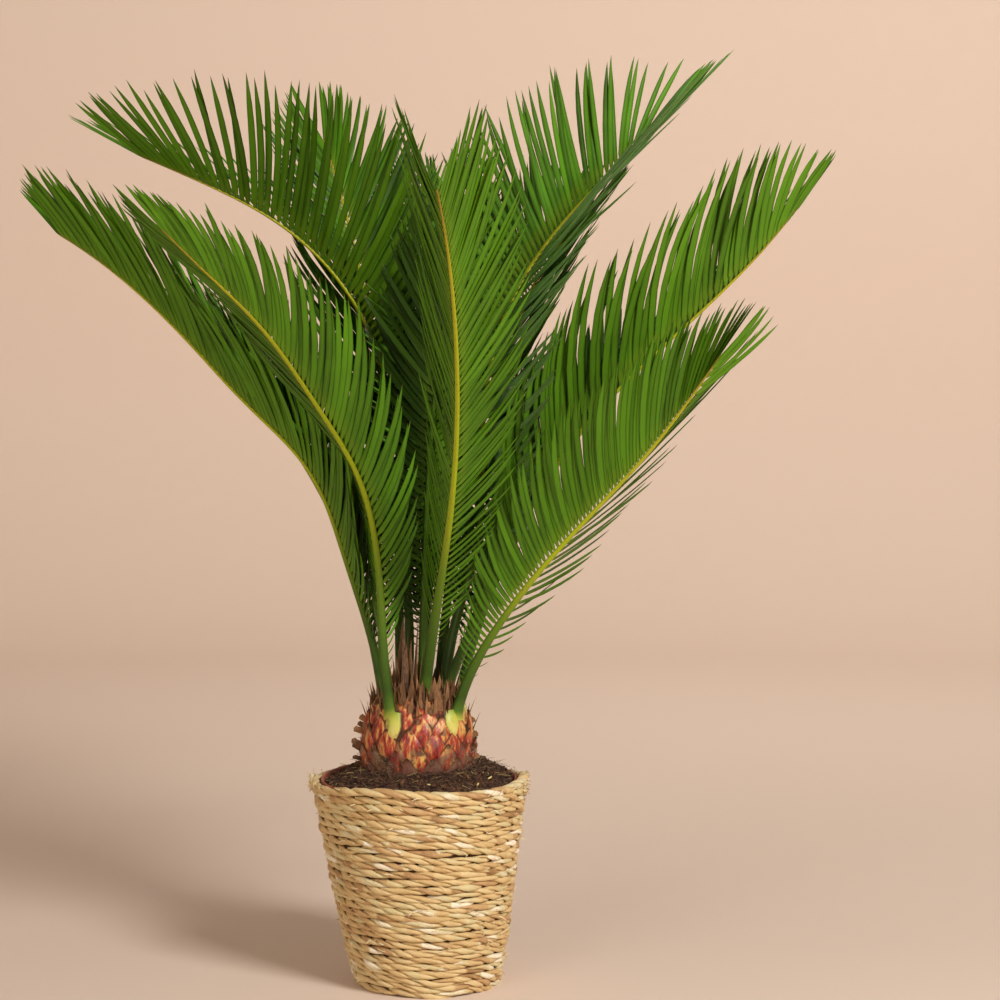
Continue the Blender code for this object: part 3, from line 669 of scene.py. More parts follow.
def frond_leaflets(name, frond, rib, settings, material, seed):
    """All the leaflets of one frond, with the short spines of its stalk."""
    chance = np.random.RandomState(seed)
    shares, hands = [], []
    widening = settings.tip_spacing - settings.low_spacing
    for hand, row in ((1, "left_row"), (-1, "right_row")):
        place = (FIRST_LEAFLET - SPINE_REACH) * frond["length"] + (hand < 0) * 4
        while place < frond["length"] * 0.998:
            share = place / frond["length"]
            shares.append(share)
            hands.append(hand)
            place += frond[row][0] * (settings.low_spacing + widening * share) / MM
            place += chance.normal(0, 0.35)
    shares, hands = np.array(shares), np.array(hands, float)
    count = len(shares)
    path, across, normal, length = leaflet_arrays(frond, rib, shares, hands, chance)
    # Spines are leaflets that stayed short
    shrink = np.interp(shares, (SPINE_REACH, FIRST_LEAFLET), (0.12, 0.7))
    shrink = np.where(shares < FIRST_LEAFLET, shrink, 1)
    path = path[:, :1] + (path - path[:, :1]) * shrink[:, None, None]
    wide = np.interp(length, (0.02, 0.05, 0.09, 0.14), (0.35, 0.62, 0.85, 1)) * shrink
    outline = np.interp(LEAFLET.stations, (0, 0.07, 0.3, 0.6, 0.85, 1), (0.3, 0.9, 1, 0.95, 0.66, 0))
    half = settings.leaflet_width / 2 * wide[:, None] * outline
    thick = LEAFLET_THICKNESS * (0.5 + 0.5 * outline) * np.minimum(wide, 1)[:, None]
    thick[:, -1] = 0
    points = LEAFLET.draw(path, across, normal, half, thick)
    # Tone drifts along the frond. Painted shade lowers it towards the stalk and on fronds deep in the crown and at the
    # back
    drift = np.array([noise.noise(Vector((share * 9, hand * 3, seed * 7.3))) for share, hand in zip(shares, hands)])
    painted_shade = 0.5 * np.maximum(0.45 - shares, 0) + frond["age"]
    # A painted sheen: a row's tone is raised past 1, into a pale grey-green that stands for a glossy reflection
    painted_sheen = np.where(hands > 0, frond["left_row"][4], frond["right_row"][4])
    tone = np.clip(0.5 + 0.4 * drift + chance.normal(0, 0.2, count) - painted_shade, -1, 1) + painted_sheen
    values = {
        "along": np.tile(LEAFLET.stations[LEAFLET.ring], count),
        "middle": np.tile(1 - np.abs(LEAFLET.corners[LEAFLET.corner, 0]), count),
        "below": np.tile(LEAFLET.corner > 4, count),
        "tone": np.repeat(tone, LEAFLET.size),
        "height": np.repeat(shares, LEAFLET.size),
    }
    make_piece(name + "_leaflets", points, copies(LEAFLET.faces, LEAFLET.size, count), material, [name], values)


def frond_rib(name, rib, age, material):
    """The rib as a bmesh tube drawn out ring by ring, rounded below and nearly flat above."""
    stations = np.concatenate((np.linspace(0, 0.16, 12), np.linspace(0.18, 0.998, 50)))
    point, _, upper, side = rib.at(stations)
    width = np.interp(stations, RIB_STATIONS, RIB_WIDTHS) * MM
    bm = bmesh.new()
    share_layer, above_layer, inner_shade_layer = (bm.verts.layers.float.new(key) for key in ("share", "above", "age"))
    for ring, end in enumerate(grow_rings(bm, len(RIB_SECTION), len(stations))):
        for vert, (across, lift) in zip(end.verts, RIB_SECTION):
            vert.co = point[ring] + side[ring] * across * width[ring] + upper[ring] * lift * width[ring]
            vert[share_layer] = stations[ring]
            vert[above_layer] = lift + 0.42
            vert[inner_shade_layer] = age
    bmesh.ops.recalc_face_normals(bm, faces=bm.faces)
    bmesh_piece(name + "_rib", bm, material, [name], 60)


class SAGO_OT_fronds(bpy.types.Operator):
    """Add the thirteen fronds, each with a rib and its rows of narrow leaflets"""

    bl_idname = "sago.fronds"
    bl_label = "Fronds"

    def execute(self, context):
        settings = context.scene.sago_fronds
        leaflet, stalk = leaflet_material(settings), rib_material(settings)
        for seed, (name, frond) in enumerate(FRONDS.items(), 11):
            rib = Rib(frond)
            frond_leaflets(name, frond, rib, settings, leaflet, seed)
            frond_rib(name, rib, frond["age"], stalk)
        return {"FINISHED"}


# Stem


def stem_radius(height):
    heights, radii = np.array(STEM_OUTLINE).T
    return np.interp(np.asarray(height) / MM, heights, radii) * MM


def on_stem(angle, height, lift):
    """Points on the stem's outline, raised from it by lift, and the way it faces there."""
    slope = (stem_radius(height + MM) - stem_radius(height - MM)) / (2 * MM)
    out, _ = level(angle)
    flat = 1 / np.sqrt(1 + slope**2)
    normal = out * flat[..., None] + UP * (-slope * flat)[..., None]
    base = STEM_CENTRE + out * stem_radius(height)[..., None] + UP * height[..., None]
    return base + normal * np.asarray(lift)[..., None], normal


def scale_template():
    """One leaf-base scale as a flat grid that solidify closes: x across, y up, z out."""
    bm = bmesh.new()
    bmesh.ops.create_grid(bm, x_segments=6, y_segments=8, size=1)
    for vert in bm.verts:
        vert.co.y = (vert.co.y + 1) / 2
    bmesh.ops.solidify(bm, geom=bm.faces, thickness=0.05)
    bmesh.ops.recalc_face_normals(bm, faces=bm.faces)
    return shape_of(bm)


def scale_places(settings):
    """Angle, height, width, tallness and warmth of every scale, ring by ring, with the fresh feet of three fronds."""
    chance = random.Random(5)
    rows = []
    for ring, height in enumerate(RING_HEIGHTS):
        count = settings.scales_round - RING_GAPS[ring]
        across = TURN * float(stem_radius(height * MM)) / count
        for index in range(count):
            angle = (index + (ring % 2) / 2 + chance.uniform(-0.14, 0.14)) * TURN / count + 0.1
            width = min(across * chance.uniform(1.12, 1.36), settings.scale_width * 1.15)
            tall = settings.scale_height * chance.uniform(0.86, 1.1) * RING_SIZES[ring]
            place = (height + chance.uniform(-2.5, 2.5)) * MM
            row = (angle, place, width, tall, ring / (len(RING_HEIGHTS) - 1), chance.random())
            # No scale grows over a fresh foot
            if all(
                abs(math.remainder(angle - math.radians(foot), TURN)) > 0.13 or abs(height - middle - 3) > 10
                for foot, middle, _ in FRESH_FEET
            ):
                rows.append(row)
    for foot, middle, tall in FRESH_FEET:
        rows.append((math.radians(foot), middle * MM, 20 * MM, tall * MM, FRESH_ZONE, 0.5))
    return np.array(rows)


def stem_scales(rows, material):
    """The overlapping scales. Each is domed, and its point stands off the ring above."""
    template, faces = scale_template()
    angle, height, width, tall, zone, luck = rows.T[..., None]
    x, y, z = template.T
    fresh = zone > 1.2
    usual = np.interp(y, (0, 0.2, 0.42, 0.66, 0.86, 1), (0.3, 0.8, 1.0, 0.7, 0.3, 0.03))
    foot = np.interp(y, (0, 0.25, 0.55, 0.85, 1), (0.12, 0.62, 1, 0.86, 0.74))
    upward = height - tall * 0.5 + tall * y
    spread = x * np.where(fresh, foot, usual) * width / 2
    chance = np.random.RandomState(8)
    dome = (1 - np.abs(x) ** 2.2) * np.sin(np.clip(y * 1.1, 0, 1) * math.pi) ** 0.7
    stand, first, second, third = chance.random((4, len(rows), 1))
    knobs = np.sin(x * 3 + first * 6) * np.sin(y * 6 + third * 6) * 0.55
    ridges = np.sin(x * (9 + 6 * first) + second * 6) * 0.22 + knobs
    rough = dome * (1.6 + 1.8 * stand) + y**2.6 * (1.5 + 3.5 * third) - 1.2 + ridges
    smooth = np.interp(y, (0, 0.3, 0.6, 0.85, 1), (-0.5, 2.8, 3.8, 4.8, 4.4)) - 3.2 * np.abs(x) ** 2.2 + ridges * 0.5
    lift = (np.where(fresh, smooth, rough) + z * 24) * MM
    turn = angle + spread / np.maximum(stem_radius(upward), 12 * MM)
    points, _ = on_stem(turn, upward, lift)
    edge = np.maximum(np.abs(x) ** 4, (0.1 - y) / 0.1)
    edge = np.where(fresh, edge, np.maximum(edge, (y - 0.78) / 0.22))
    values = {
        "edge": np.clip(edge, 0, 1),
        "rise": np.tile(y, len(rows)),
        "zone": np.repeat(zone, len(x)),
        "luck": np.repeat(luck, len(x)),
    }
    make_piece("stem_scales", points, copies(faces, len(x), len(rows)), material, ["stem"], values)


def stem_core(material):
    """The fibrous body that shows as dark lines between the scales."""
    outline = [(0, STEM_OUTLINE[0][0] * MM)]
    outline += [((radius - 1.5) * MM, height * MM) for height, radius in STEM_OUTLINE[:-1]]
    outline.append((0, STEM_OUTLINE[-1][0] * MM - 1 * MM))
    bm = turned(outline, 72)
    for vert in bm.verts:
        if vert.co.xy.length > 10 * MM:
            vert.co *= 1 + 0.012 * noise.noise(vert.co * 160)
        vert.co += Vector(STEM_CENTRE)
    bmesh_piece("stem_core", bm, material, ["stem"])


def stem_tips(rows, material):
    """Brown papery points that are left on the scales, needle and tall bracts round the crown, and stumps."""
    chance = np.random.RandomState(21)
    profile = ((0, 0.3, 0.7, 1), (1, 0.9, 0.35, 0))
    rows = np.repeat(rows[rows[:, 4] <= 1], 2, axis=0)
    # No dry point covers a pale foot
    for foot, middle, _ in FRESH_FEET:
        apart = np.abs((rows[:, 0] - math.radians(foot) + math.pi) % TURN - math.pi)
        rows = rows[(apart > 0.24) | (rows[:, 1] < (middle - 26) * MM)]
    count = len(rows)
    angle = rows[:, 0] + chance.normal(0, 0.07, count)
    height = rows[:, 1] + rows[:, 3] * chance.uniform(0.2, 0.42, count)
    root, normal = on_stem(angle, height, np.full(count, 1.5 * MM))
    tangent = unit(UP - normal * (normal @ UP)[:, None])
    side = np.cross(UP, normal)
    start = tangent + normal * chance.uniform(0.1, 0.6, (count, 1)) + side * chance.normal(0, 0.25, (count, 1))
    start = unit(start)
    finish = unit(start + normal * chance.uniform(-0.3, 0.9, (count, 1)) + UP * 0.2)
    length = np.interp(rows[:, 4], (0, 0.5, 0.85, 1), (7, 8, 15, 25)) * MM * chance.uniform(0.5, 1.35, count)
    width = chance.uniform(2.4, 5.6, count) * MM
    flaps = draw_curved(STRAP, root, start, finish, length, width, 0.7 * MM, profile, normal)

    angle, height, length = np.array(NEEDLES).T
    root, normal = on_stem(np.radians(angle), height * MM, np.full(len(NEEDLES), 2 * MM))
    lean = unit(UP + normal * 0.35)
    finish = unit(lean + normal * 0.25)
    needles = draw_curved(STRAP, root, lean, finish, length * MM, 3.6 * MM, 1.1 * MM, profile, normal)

    # Tall dry bracts between the stalks, closest together in front
    count, loose = 170, 80
    angle = chance.uniform(-math.pi, math.pi, count)
    angle[loose:] = chance.uniform(-2.5, -0.6, count - loose)
    height = chance.uniform(258, 277, count)
    root, normal = on_stem(angle, height * MM, np.full(count, 0.5 * MM))
    facing = unit(normal + chance.normal(0, 0.8, (count, 3)) * (1, 1, 0.3))
    side = np.cross(UP, normal)
    start = unit(UP + normal * chance.uniform(0, 0.3, (count, 1)))
    finish = UP + normal * chance.uniform(-0.1, 0.5, (count, 1)) + side * chance.normal(0, 0.2, (count, 1))
    length = chance.uniform(7, 25, count) * MM
    width = chance.uniform(3.5, 8, count) * MM
    bracts = draw_curved(STRAP, root, start, unit(finish), length, width, 0.8 * MM, profile, facing)

    places = [*STUMPS]
    places += [(chance.uniform(0, 180), chance.uniform(208, 244), chance.uniform(6, 10)) for _ in range(14)]
    count = len(places)
    angle, height, length = np.array(places).T
    root, normal = on_stem(np.radians(angle), height * MM, np.full(count, 0.5 * MM))
    away = unit(normal + UP * 0.15 + chance.normal(0, 0.2, (count, 3)))
    facing = unit(np.cross(away, UP) + UP * 0.5 + chance.normal(0, 0.4, (count, 3)))
    blunt = ((0, 0.5, 0.9, 1), (1, 0.8, 0.9, 0.6))
    finish = unit(away + UP * 0.5)
    stumps = draw_curved(STRAP, root, away, finish, length * MM, 7 * MM, 2.6 * MM, blunt, facing)

    kinds = ((flaps, 0, 1), (needles, 0, 0.3), (stumps, 0.2, 0.5), (bracts, 0, 0.8))
    points = np.concatenate([shapes for shapes, _, _ in kinds])
    tone = np.concatenate([least + chance.random(len(shapes)) * spread for shapes, least, spread in kinds])
    blade_piece("stem_tips", STRAP, points, tone, material, ["stem"])


def stem_wool(material):
    """Short grey-brown felt at the foot of the stem and between the scales."""
    chance = np.random.RandomState(33)
    count = 1500
    angle = chance.uniform(-math.pi, math.pi, count)
    height = np.minimum((201 + np.abs(chance.normal(0, 14, count))) * MM, 262 * MM)
    root, normal = on_stem(angle, height, chance.uniform(-0.5, 1.5, count) * MM)
    start = unit(normal * 0.5 + chance.normal(0, 0.5, (count, 3)) + UP * 0.3)
    finish = unit(start + chance.normal(0, 0.7, (count, 3)))
    length = chance.uniform(3, 8, count) * MM
    width = 0.45 * MM
    points = draw_curved(FIBRE, root, start, finish, length, width, width * 0.4, ((0, 1), (1, 0.3)), normal)
    blade_piece("stem_wool", FIBRE, points, chance.random(count), material, ["stem"], 80)


class SAGO_OT_stem(bpy.types.Operator):
    """Add the swollen stem with its scales, dry points, stalk stumps and felt"""

    bl_idname = "sago.stem"
    bl_label = "Stem"

    def execute(self, context):
        settings = context.scene.sago_stem
        rows = scale_places(settings)
        stem_core(dry_material("Dry scale fibre", "#3A2113", "#8A5A34", 1.5, 0.9))
        stem_scales(rows, scale_material(settings))
        stem_tips(rows, dry_material("Papery scale points", "#452818", "#A07448", 1.2, 0.8))
        stem_wool(dry_material("Stem felt", "#4E3A2C", "#9A8468", 1.0, 0.95))
        return {"FINISHED"}


class SAGO_OT_sheaths(bpy.types.Operator):
    """Add the dry sheaths that stand round the growing point"""

    bl_idname = "sago.sheaths"
    bl_label = "Bud sheaths"

    def execute(self, context):
        chance = np.random.RandomState(4)
        # Half of them stand close in the middle, and the shorter half stand round it
        count, inner = 56, 28
        low, high = (np.array(corner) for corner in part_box("bud_sheaths"))
        spread = chance.normal(0, 1, (count, 2)) * (5.5 * MM, 6.5 * MM)
        spread[inner:] = chance.uniform(-1, 1, (count - inner, 2)) * (20 * MM, 18 * MM)
        root = np.hstack(((low + high)[:2] / 2 + spread, np.full((count, 1), low[2] - 6 * MM)))
        outward = np.hstack((spread, np.zeros((count, 1)))) / (12 * MM)
        start = unit(UP + outward * 0.05 + chance.normal(0, 0.03, (count, 3)))
        finish = unit(UP + outward * 0.10 + chance.normal(0, 0.07, (count, 3)))
        length = np.where(np.arange(count) < inner, chance.uniform(34, 78, count), chance.uniform(18, 46, count)) * MM
        width = chance.uniform(3, 6.5, count) * MM
        facing = unit(outward + np.array((0.1, -0.6, 0.1)) + chance.normal(0, 0.3, (count, 3)))
        profile = ((0, 0.3, 0.7, 1), (0.9, 1, 0.5, 0))
        points = draw_curved(STRAP, root, start, finish, length, width, 0.9 * MM, profile, facing)
        material = dry_material("Dry bud sheath", "#3A2216", "#A07A50", 1.0, 0.8)
        blade_piece("bud_sheath_blades", STRAP, points, chance.random(count), material, ["bud_sheaths"])
        return {"FINISHED"}


# Soil and plant pot


def soil_height(x, y):
    """Height of the soil's surface: low at the wall, heaped at the stem and to the right and back."""
    radius = math.hypot(x - BASKET_LEAN, y) / MM
    angle = math.atan2(y, x - BASKET_LEAN)
    height = float(np.interp(radius, (54, 64, 74, 83, 90), (206, 204, 200, 195, 190.5)))
    height += 3.5 * math.cos(angle - 0.5) * float(np.interp(radius, (60, 75, 90), (0.4, 1, 0.6)))
    height += 2.2 * noise.noise(Vector((x * 90, y * 90, 0))) + 1.2 * noise.noise(Vector((x * 260, y * 260, 5)))
    return height * MM


def on_soil(radius, angle, lift):
    """Points on the soil, raised by lift."""
    x, y = BASKET_LEAN + radius * np.cos(angle), radius * np.sin(angle)
    return np.stack((x, y, np.array([soil_height(*pair) for pair in zip(x, y)]) + lift), axis=-1)


class SAGO_OT_soil(bpy.types.Operator):
    """Add the peat in the plant pot, with its crumbs, fibres and a few husks"""

    bl_idname = "sago.soil"
    bl_label = "Soil"

    def execute(self, context):
        material = peat_material(context.scene.sago_pot)
        self.add_bed(material)
        self.add_crumbs(material)
        self.add_fibres()
        return {"FINISHED"}

    def add_bed(self, material):
        bottom, surface = 150 * MM, 0.2
        rings = [(radius * MM, surface) for radius in range(88, 48, -2)]
        bm = turned([(0, bottom), (78 * MM, bottom), (89.4 * MM, 188 * MM), *rings, (0, surface)], 120)
        lean_with_basket(bm)
        for vert in bm.verts:
            if vert.co.z > surface - 1.5 * MM:
                vert.co.z = soil_height(vert.co.x, vert.co.y)
        bmesh_piece("soil_bed", bm, material, ["soil"], 80)

    def add_crumbs(self, material):
        chance = np.random.RandomState(12)
        bm = bmesh.new()
        bmesh.ops.create_icosphere(bm, subdivisions=1, radius=1)
        shape, faces = shape_of(bm)
        count = 2200
        radius = np.sqrt(chance.uniform(54**2, 88**2, count)) * MM
        angle = chance.uniform(-math.pi, math.pi, count)
        size = np.clip(chance.lognormal(0.1, 0.55, count), 0.5, 4.2) * MM
        # Only small ones lie against the pot's wall
        size = np.where(radius > 84 * MM, np.minimum(size, 2 * MM), size)
        lumps = shape[None] * chance.uniform(0.55, 1.25, (count, len(shape), 1)) * size[:, None, None]
        points = lumps * chance.uniform(0.7, 1.2, (count, 1, 3)) + on_soil(radius, angle, size * 0.15)[:, None]
        make_piece("soil_crumbs", points, copies(faces, len(shape), count), material, ["soil"], crease=35)

    def add_fibres(self):
        chance = np.random.RandomState(15)
        count = 420
        radius = np.sqrt(chance.uniform(56**2, 87**2, count)) * MM
        angle = chance.uniform(-math.pi, math.pi, count)
        # The first few are broad husks, most of them in front on the right
        husk = np.arange(count) < 6
        angle[:5] = chance.uniform(-0.85, -0.3, 5)
        radius[:5] = chance.uniform(70, 82, 5) * MM
        root = on_soil(radius, angle, 1.2 * MM)
        start = unit(chance.normal(0, 1, (count, 3)) * (1, 1, 0.25) + UP * 0.12)
        finish = unit(start + chance.normal(0, 0.8, (count, 3)) * (1, 1, 0.4))
        length = np.where(husk, chance.uniform(5, 9, count), chance.uniform(5, 16, count)) * MM
        width = np.where(husk, 2.2, 0.55) * MM
        profile = ((0, 0.5, 1), (0.7, 1, 0.4))
        points = draw_curved(FIBRE, root, start, finish, length, width, width * 0.4, profile, UP[None])
        tone = np.where(husk, 1.6, chance.uniform(-0.9, 0.45, count))
        material = dry_material("Peat fibres and husks", "#3B2416", "#D4BE76", 2.0, 0.8)
        blade_piece("soil_fibres", FIBRE, points, tone, material, ["soil"], 80)


class SAGO_OT_plant_pot(bpy.types.Operator):
    """Add the thin plant pot with its rolled lip"""

    bl_idname = "sago.plant_pot"
    bl_label = "Plant pot"

    def execute(self, context):
        # The lip sits a little lower than the solid's, so that the top rope hides it in front
        rim, top, floor = 93 * MM, POT_HIGH.z - 2.8 * MM, POT_LOW.z
        # The lip's outline in millimetres, inwards from the rim and down from the top
        lip = (
            (2.8, 9.8), (0.6, 9.4), (0, 8.8), (0, 1.4), (0.5, 0.4), (1.3, 0), (2.1, 0.5), (2.5, 1.6), (3.0, 9),
            (4.9, 12),
        )
        outline = [(0, floor), (57 * MM, floor), (60 * MM, floor + 2 * MM)]
        outline += [(rim - inward * MM, top - down * MM) for inward, down in lip]
        outline += [(58 * MM, floor + 2.2 * MM), (0, floor + 2.2 * MM)]
        bm = turned(outline, 128)
        lean_with_basket(bm)
        # The pot leans forward a little, so its lip shows at the back
        for vert in bm.verts:
            vert.co.z += 2.6 * MM * vert.co.y / rim * (vert.co.z > floor + 10 * MM)
        bmesh_piece("pot_shell", bm, pot_material(context.scene.sago_pot), ["plant_pot"])
        return {"FINISHED"}


# Basket


def rope_radius(height, settings):
    """Radius of the middle of the rope wall: a straight taper with a slight belly and a rounded foot."""
    share = height / BASKET_TOP
    radius = settings.foot_radius + (settings.rim_radius - settings.foot_radius) * share
    belly = 2.2 * math.sin(share * math.pi) + 1.6 * (1 - share) + 1.6 * share**8
    return radius - (3.9 - belly) * MM - 4 * MM * max(0, 1 - height / (9 * MM)) ** 2


def rope_row(row, settings, chance):
    """The middle line of a rope row: (points, outward directions, twist, run, whole length)."""
    height = 3.6 * MM + row * (BASKET_TOP - 3 * MM) / settings.rows
    radius = rope_radius(height, settings)
    turns = max(round(TURN * radius / settings.twist_length), 4)
    run = np.arange(turns * 14 + 1) / (turns * 14)
    phase = chance.uniform(0, TURN)
    angle = TURN * run + 0.5 * math.pi
    # Rows sag together, so that neighbours stay close
    sag = [noise.noise(Vector((math.cos(turn) * 1.6, math.sin(turn) * 1.6, row * 0.3))) for turn in angle]
    wave = (3.1 * np.array(sag) + 0.5 * chance.normal() * np.sin(7 * angle + chance.uniform(0, 6.28))) * MM
    side_waves = [(count, chance.uniform(0, 6.28), chance.normal(0, 0.4)) for count in (2, 4, 7, 13)]
    puff = sum(size * np.sin(count * angle + start) for count, start, size in side_waves) * MM
    # The rim waves a little, and lies lower at the back, where the pot's lip shows over it
    rim_dip = 1.8 * np.sin(3 * angle + 0.6) - 5 * np.clip(np.sin(angle) * 2, 0, 1)
    rim_dip = (height / BASKET_TOP) ** 6 * MM * rim_dip
    slack = 0.7 * np.sin(2 * angle + phase) + 0.5 * np.sin(5 * angle + 2 * phase) + 0.3 * np.sin(9 * angle + 3 * phase)
    out, _ = level(angle)
    centre = out * (radius + puff)[:, None] + UP * (height + wave + rim_dip)[:, None]
    return centre, out, -TURN * turns * run + phase + slack, run, TURN * radius


def strand_tones(chance, run, length):
    """Tones along a strand: mostly one to a blade of grass 26 mm long, and partly blended with the next."""
    blades = max(int(length / (26 * MM)), 4)
    levels = np.clip(chance.normal(0.54, 0.27, blades), 0, 1)
    blended = np.interp(run, np.linspace(0, 1, blades + 1), np.append(levels, levels[0]))
    return 0.25 * blended + 0.75 * levels[np.minimum((run * blades).astype(int), blades - 1)]


def rope_rows(name, rows, settings, material):
    """Rows of two-strand rope. Each strand is a grid rolled into a tube, closed at both seams."""
    mesh_points, fibres, tones, faces = [], [], [], []
    offset, sides = 0, 8
    around = np.arange(sides) / sides * TURN
    for row in rows:
        centre, out, row_twist, run, length = rope_row(row, settings, np.random.RandomState(100 + row))
        steps = len(run) - 1
        for hand in (0, 1):
            twist = row_twist + math.pi * hand
            chance = np.random.RandomState(500 + row * 2 + hand)
            away = out * np.cos(twist)[:, None] + UP * np.sin(twist)[:, None]
            beside = UP * np.cos(twist)[:, None] - out * np.sin(twist)[:, None]
            # The strand swells and thins, and the rim's is fatter
            fat = 0.15 * np.interp(run, np.linspace(0, 1, 32), np.append(chance.normal(0, 1, 31), 0))
            fat = (1.15 if row == settings.rows - 1 else 1) + fat
            fat[-1] = fat[0]
            lobes = 1 + 0.07 * np.cos(3 * around[None] + run[:, None] * 40 + chance.uniform(0, 6))
            deep = 1.95 * MM * fat[:, None] * lobes * np.cos(around)
            wide = 2.85 * MM * fat[:, None] * lobes * np.sin(around)
            points = (centre + away * 1.85 * MM)[:, None] + away[:, None] * deep[..., None]
            points = points + beside[:, None] * wide[..., None]
            points[..., 0] += basket_middle(points[..., 2])
            mesh_points.append(points[:-1].reshape(-1, 3))
            tones.append(np.repeat(strand_tones(chance, run[:-1], length), sides))
            fibre = np.empty((steps, sides, 3))
            fibre[..., 0] = np.cos(around) * 2.2
            fibre[..., 1] = np.sin(around) * 2.2 + row * 9 + hand * 400
            fibre[..., 2] = (run[:-1] * length / MM)[:, None]
            fibres.append(fibre.reshape(-1, 3))
            first = np.arange(steps)[:, None] * sides + np.arange(sides)
            after = np.roll(first, -1, axis=0)
            corners = (first, np.roll(first, -1, axis=1), np.roll(after, -1, axis=1), after)
            faces += (np.stack(corners, axis=-1).reshape(-1, 4) + offset).tolist()
            offset += steps * sides
    points, tones = np.concatenate(mesh_points), {"tone": np.concatenate(tones)}
    make_piece(name, points, faces, material, ["basket"], tones, {"fibre": np.concatenate(fibres)}, 180)


def on_rope(angle, height, settings, lift):
    """Points on the rope's outside, raised by lift, with its outward and sideways directions."""
    radius = np.array([rope_radius(value, settings) for value in height]) + lift
    out, side = level(angle)
    root = out * radius[:, None] + UP * height[:, None]
    root[:, 0] += basket_middle(height)
    return root, out, side


class SAGO_OT_basket(bpy.types.Operator):
    """Add the basket: its rows of twisted rope, the wall behind them and the loose ends of grass"""

    bl_idname = "sago.basket"
    bl_label = "Basket"

    def execute(self, context):
        settings = context.scene.sago_basket
        material = rope_material(settings)
        middle = settings.rows // 2
        rope_rows("basket_rope_lower", range(middle), settings, material)
        rope_rows("basket_rope_upper", range(middle, settings.rows), settings, material)
        self.add_wall(settings)
        loose = dry_material("Loose seagrass", "#A27A44", "#E6D4A6", 1.5, 0.7)
        self.add_loose_ends(settings, loose)
        self.add_knots(settings, loose)
        return {"FINISHED"}

    def add_wall(self, settings):
        """The wall and floor behind the rope, which shows as dark lines between the rows."""
        heights = [place * MM for place in (1.5, 6, 12, 40, 80, 120, 160, 185, 192)]
        outline = [(0, 0.2 * MM), (58 * MM, 0.2 * MM)]
        outline += [(rope_radius(height, settings) - 1.5 * MM, height) for height in heights]
        inside = ((93.4, 192), (93.4, 187.4), (91.2, 184), (62.3, 9), (60, 7), (0, 7))
        bm = turned(outline + [(radius * MM, height * MM) for radius, height in inside], 96)
        lean_with_basket(bm)
        bmesh_piece("basket_wall", bm, dry_material("Shaded seagrass", "#3A2512", "#7C5630", 1.5, 0.9), ["basket"])

    def add_knots(self, settings, material):
        """The ends of the rim rope, tucked in over the top rows at both sides."""
        chance = np.random.RandomState(31)
        count = 34
        angle = np.arange(count) % 2 * math.pi + chance.normal(0, 0.08, count)
        height = chance.uniform(182, 193, count) * MM
        root, out, side = on_rope(angle, height, settings, 2.4 * MM)
        start = side * chance.normal(0, 0.8, (count, 1)) + UP * chance.normal(0, 0.8, (count, 1)) + out * 0.1
        start = unit(start)
        finish = unit(start - out * chance.uniform(0.8, 1.5, (count, 1)))
        length = chance.uniform(7, 12, count) * MM
        width = chance.uniform(2.4, 4.2, count) * MM
        points = draw_curved(STRAP, root, start, finish, length, width, 1.2 * MM, ((0, 0.6, 1), (1, 1, 0.4)), out)
        blade_piece("basket_knots", STRAP, points, chance.uniform(0.1, 1.1, count), material, ["basket"])

    def add_loose_ends(self, settings, material):
        chance = np.random.RandomState(77)
        # Most lie anywhere, some along the rim, and the last, broader ones at its left and right sides
        count, anywhere, left, right = 500, 300, 360, 430
        height = chance.uniform(4, 194, count) * MM
        height[anywhere:] = chance.uniform(180, 197, count - anywhere) * MM
        angle = chance.uniform(-math.pi, math.pi, count)
        angle[left:right] = math.pi + chance.normal(0, 0.16, right - left)
        angle[right:] = chance.normal(0, 0.16, count - right)
        root, out, side = on_rope(angle, height, settings, 3.3 * MM)
        side = side * chance.choice((-1, 1), (count, 1))
        start = side + out * chance.uniform(0.1, 0.6, (count, 1)) + UP * chance.normal(0, 0.3, (count, 1))
        finish = side * 0.6 + out * chance.uniform(-0.1, 0.8, (count, 1)) + UP * chance.normal(0, 0.6, (count, 1))
        length = chance.uniform(3, 12, count) * MM
        width = chance.uniform(0.4, 1.5, count) * MM
        width[left:] *= 1.6
        points = draw_curved(
            FIBRE, root, unit(start), unit(finish), length, width, width * 0.25, ((0, 1), (1, 0.5)), out
        )
        blade_piece("basket_loose_ends", FIBRE, points, chance.uniform(0.6, 1.4, count), material, ["basket"], 80)


# Stage


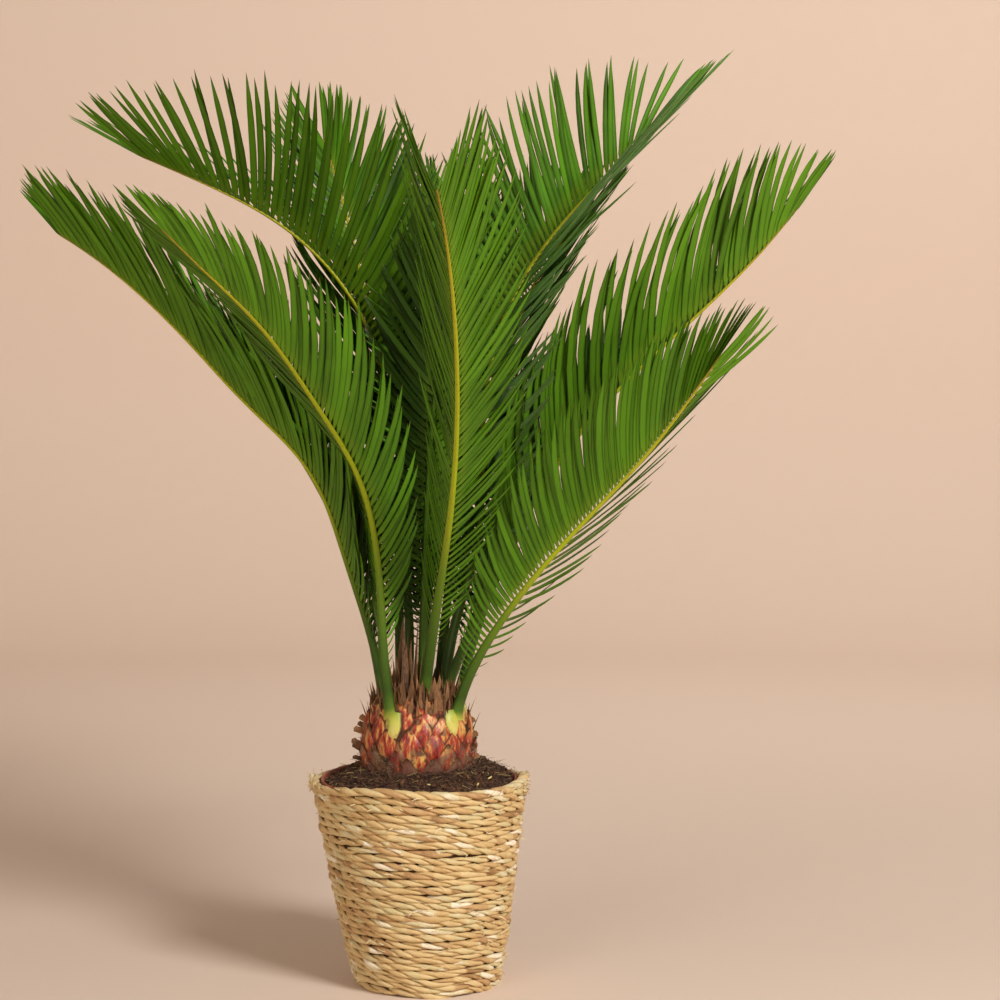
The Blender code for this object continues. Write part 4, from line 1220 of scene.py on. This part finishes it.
class SAGO_OT_stage(bpy.types.Operator):
    """Add the plain floor, the soft studio lamps and the camera"""

    bl_idname = "sago.stage"
    bl_label = "Stage"

    def execute(self, context):
        settings = context.scene.sago_stage
        scene = context.scene
        # A round floor that curves up into a plain wall on every side
        curve = [math.radians(step * 15) for step in range(7)]
        bend = [(2.8 + 0.9 * math.sin(angle), 0.9 - 0.9 * math.cos(angle)) for angle in curve]
        bm = turned([(0, 0), (1.5, 0), *bend, (3.7, 3.2)], 96)
        bmesh.ops.reverse_faces(bm, faces=bm.faces)
        mesh = bpy.data.meshes.new("floor")
        bm.to_mesh(mesh)
        bm.free()
        mesh.polygons.foreach_set("use_smooth", [True] * len(mesh.polygons))
        # Matt painted studio floor
        mesh.materials.append(Surface("Matt studio floor").finish(settings.floor, 0.9))
        floor = bpy.data.objects.new("floor", mesh)
        scene.collection.objects.link(floor)
        scene.world = bpy.data.worlds.new("Studio")
        scene.world.use_nodes = True
        background = scene.world.node_tree.nodes["Background"]
        background.inputs["Color"].default_value, background.inputs["Strength"].default_value = SKY
        for name, place, size, power, faces in LAMPS:
            lamp = bpy.data.lights.new(name, "AREA")
            lamp.size = size
            lamp.energy = power * settings.light
            made = bpy.data.objects.new(name, lamp)
            made.location = place
            made.rotation_euler = (Vector(faces) - Vector(place)).to_track_quat("-Z", "Y").to_euler()
            scene.collection.objects.link(made)
        lens = bpy.data.cameras.new("camera")
        lens.sensor_width = 36
        lens.lens = 75
        camera = bpy.data.objects.new("camera", lens)
        camera.location = (0.067, -1.968, 0.530)
        camera.rotation_euler = (math.radians(90 - 2.117), 0, 0)
        scene.collection.objects.link(camera)
        scene.camera = camera
        scene.view_settings.view_transform = "Standard"
        return {"FINISHED"}


class SAGO_PT_panel(bpy.types.Panel):
    """The buttons and settings, in the order in which the pieces are made"""

    bl_label = "Sago palm"
    bl_idname = "SAGO_PT_panel"
    bl_space_type = "VIEW_3D"
    bl_region_type = "UI"
    bl_category = "Sago palm"

    def draw(self, context):
        for group, _, operators in GROUPS:
            box = self.layout.box()
            settings = getattr(context.scene, group)
            for key in settings.__annotations__:
                box.prop(settings, key)
            for operator in operators:
                box.operator(operator.bl_idname)


GROUPS = (
    ("sago_fronds", FrondSettings, (SAGO_OT_fronds,)),
    ("sago_stem", StemSettings, (SAGO_OT_stem, SAGO_OT_sheaths)),
    ("sago_pot", PotSettings, (SAGO_OT_plant_pot, SAGO_OT_soil)),
    ("sago_basket", BasketSettings, (SAGO_OT_basket,)),
    ("sago_stage", StageSettings, (SAGO_OT_stage,)),
)


def register():
    for group, settings, operators in GROUPS:
        bpy.utils.register_class(settings)
        setattr(bpy.types.Scene, group, bpy.props.PointerProperty(type=settings))
        for operator in operators:
            bpy.utils.register_class(operator)
    bpy.utils.register_class(SAGO_PT_panel)


def unregister():
    bpy.utils.unregister_class(SAGO_PT_panel)
    for group, settings, operators in reversed(GROUPS):
        for operator in operators:
            bpy.utils.unregister_class(operator)
        delattr(bpy.types.Scene, group)
        bpy.utils.unregister_class(settings)


def main():
    register()
    bpy.ops.sago.fronds()
    bpy.ops.sago.stem()
    bpy.ops.sago.sheaths()
    bpy.ops.sago.plant_pot()
    bpy.ops.sago.soil()
    bpy.ops.sago.basket()
    bpy.ops.sago.stage()


if __name__ == "__main__":
    main()
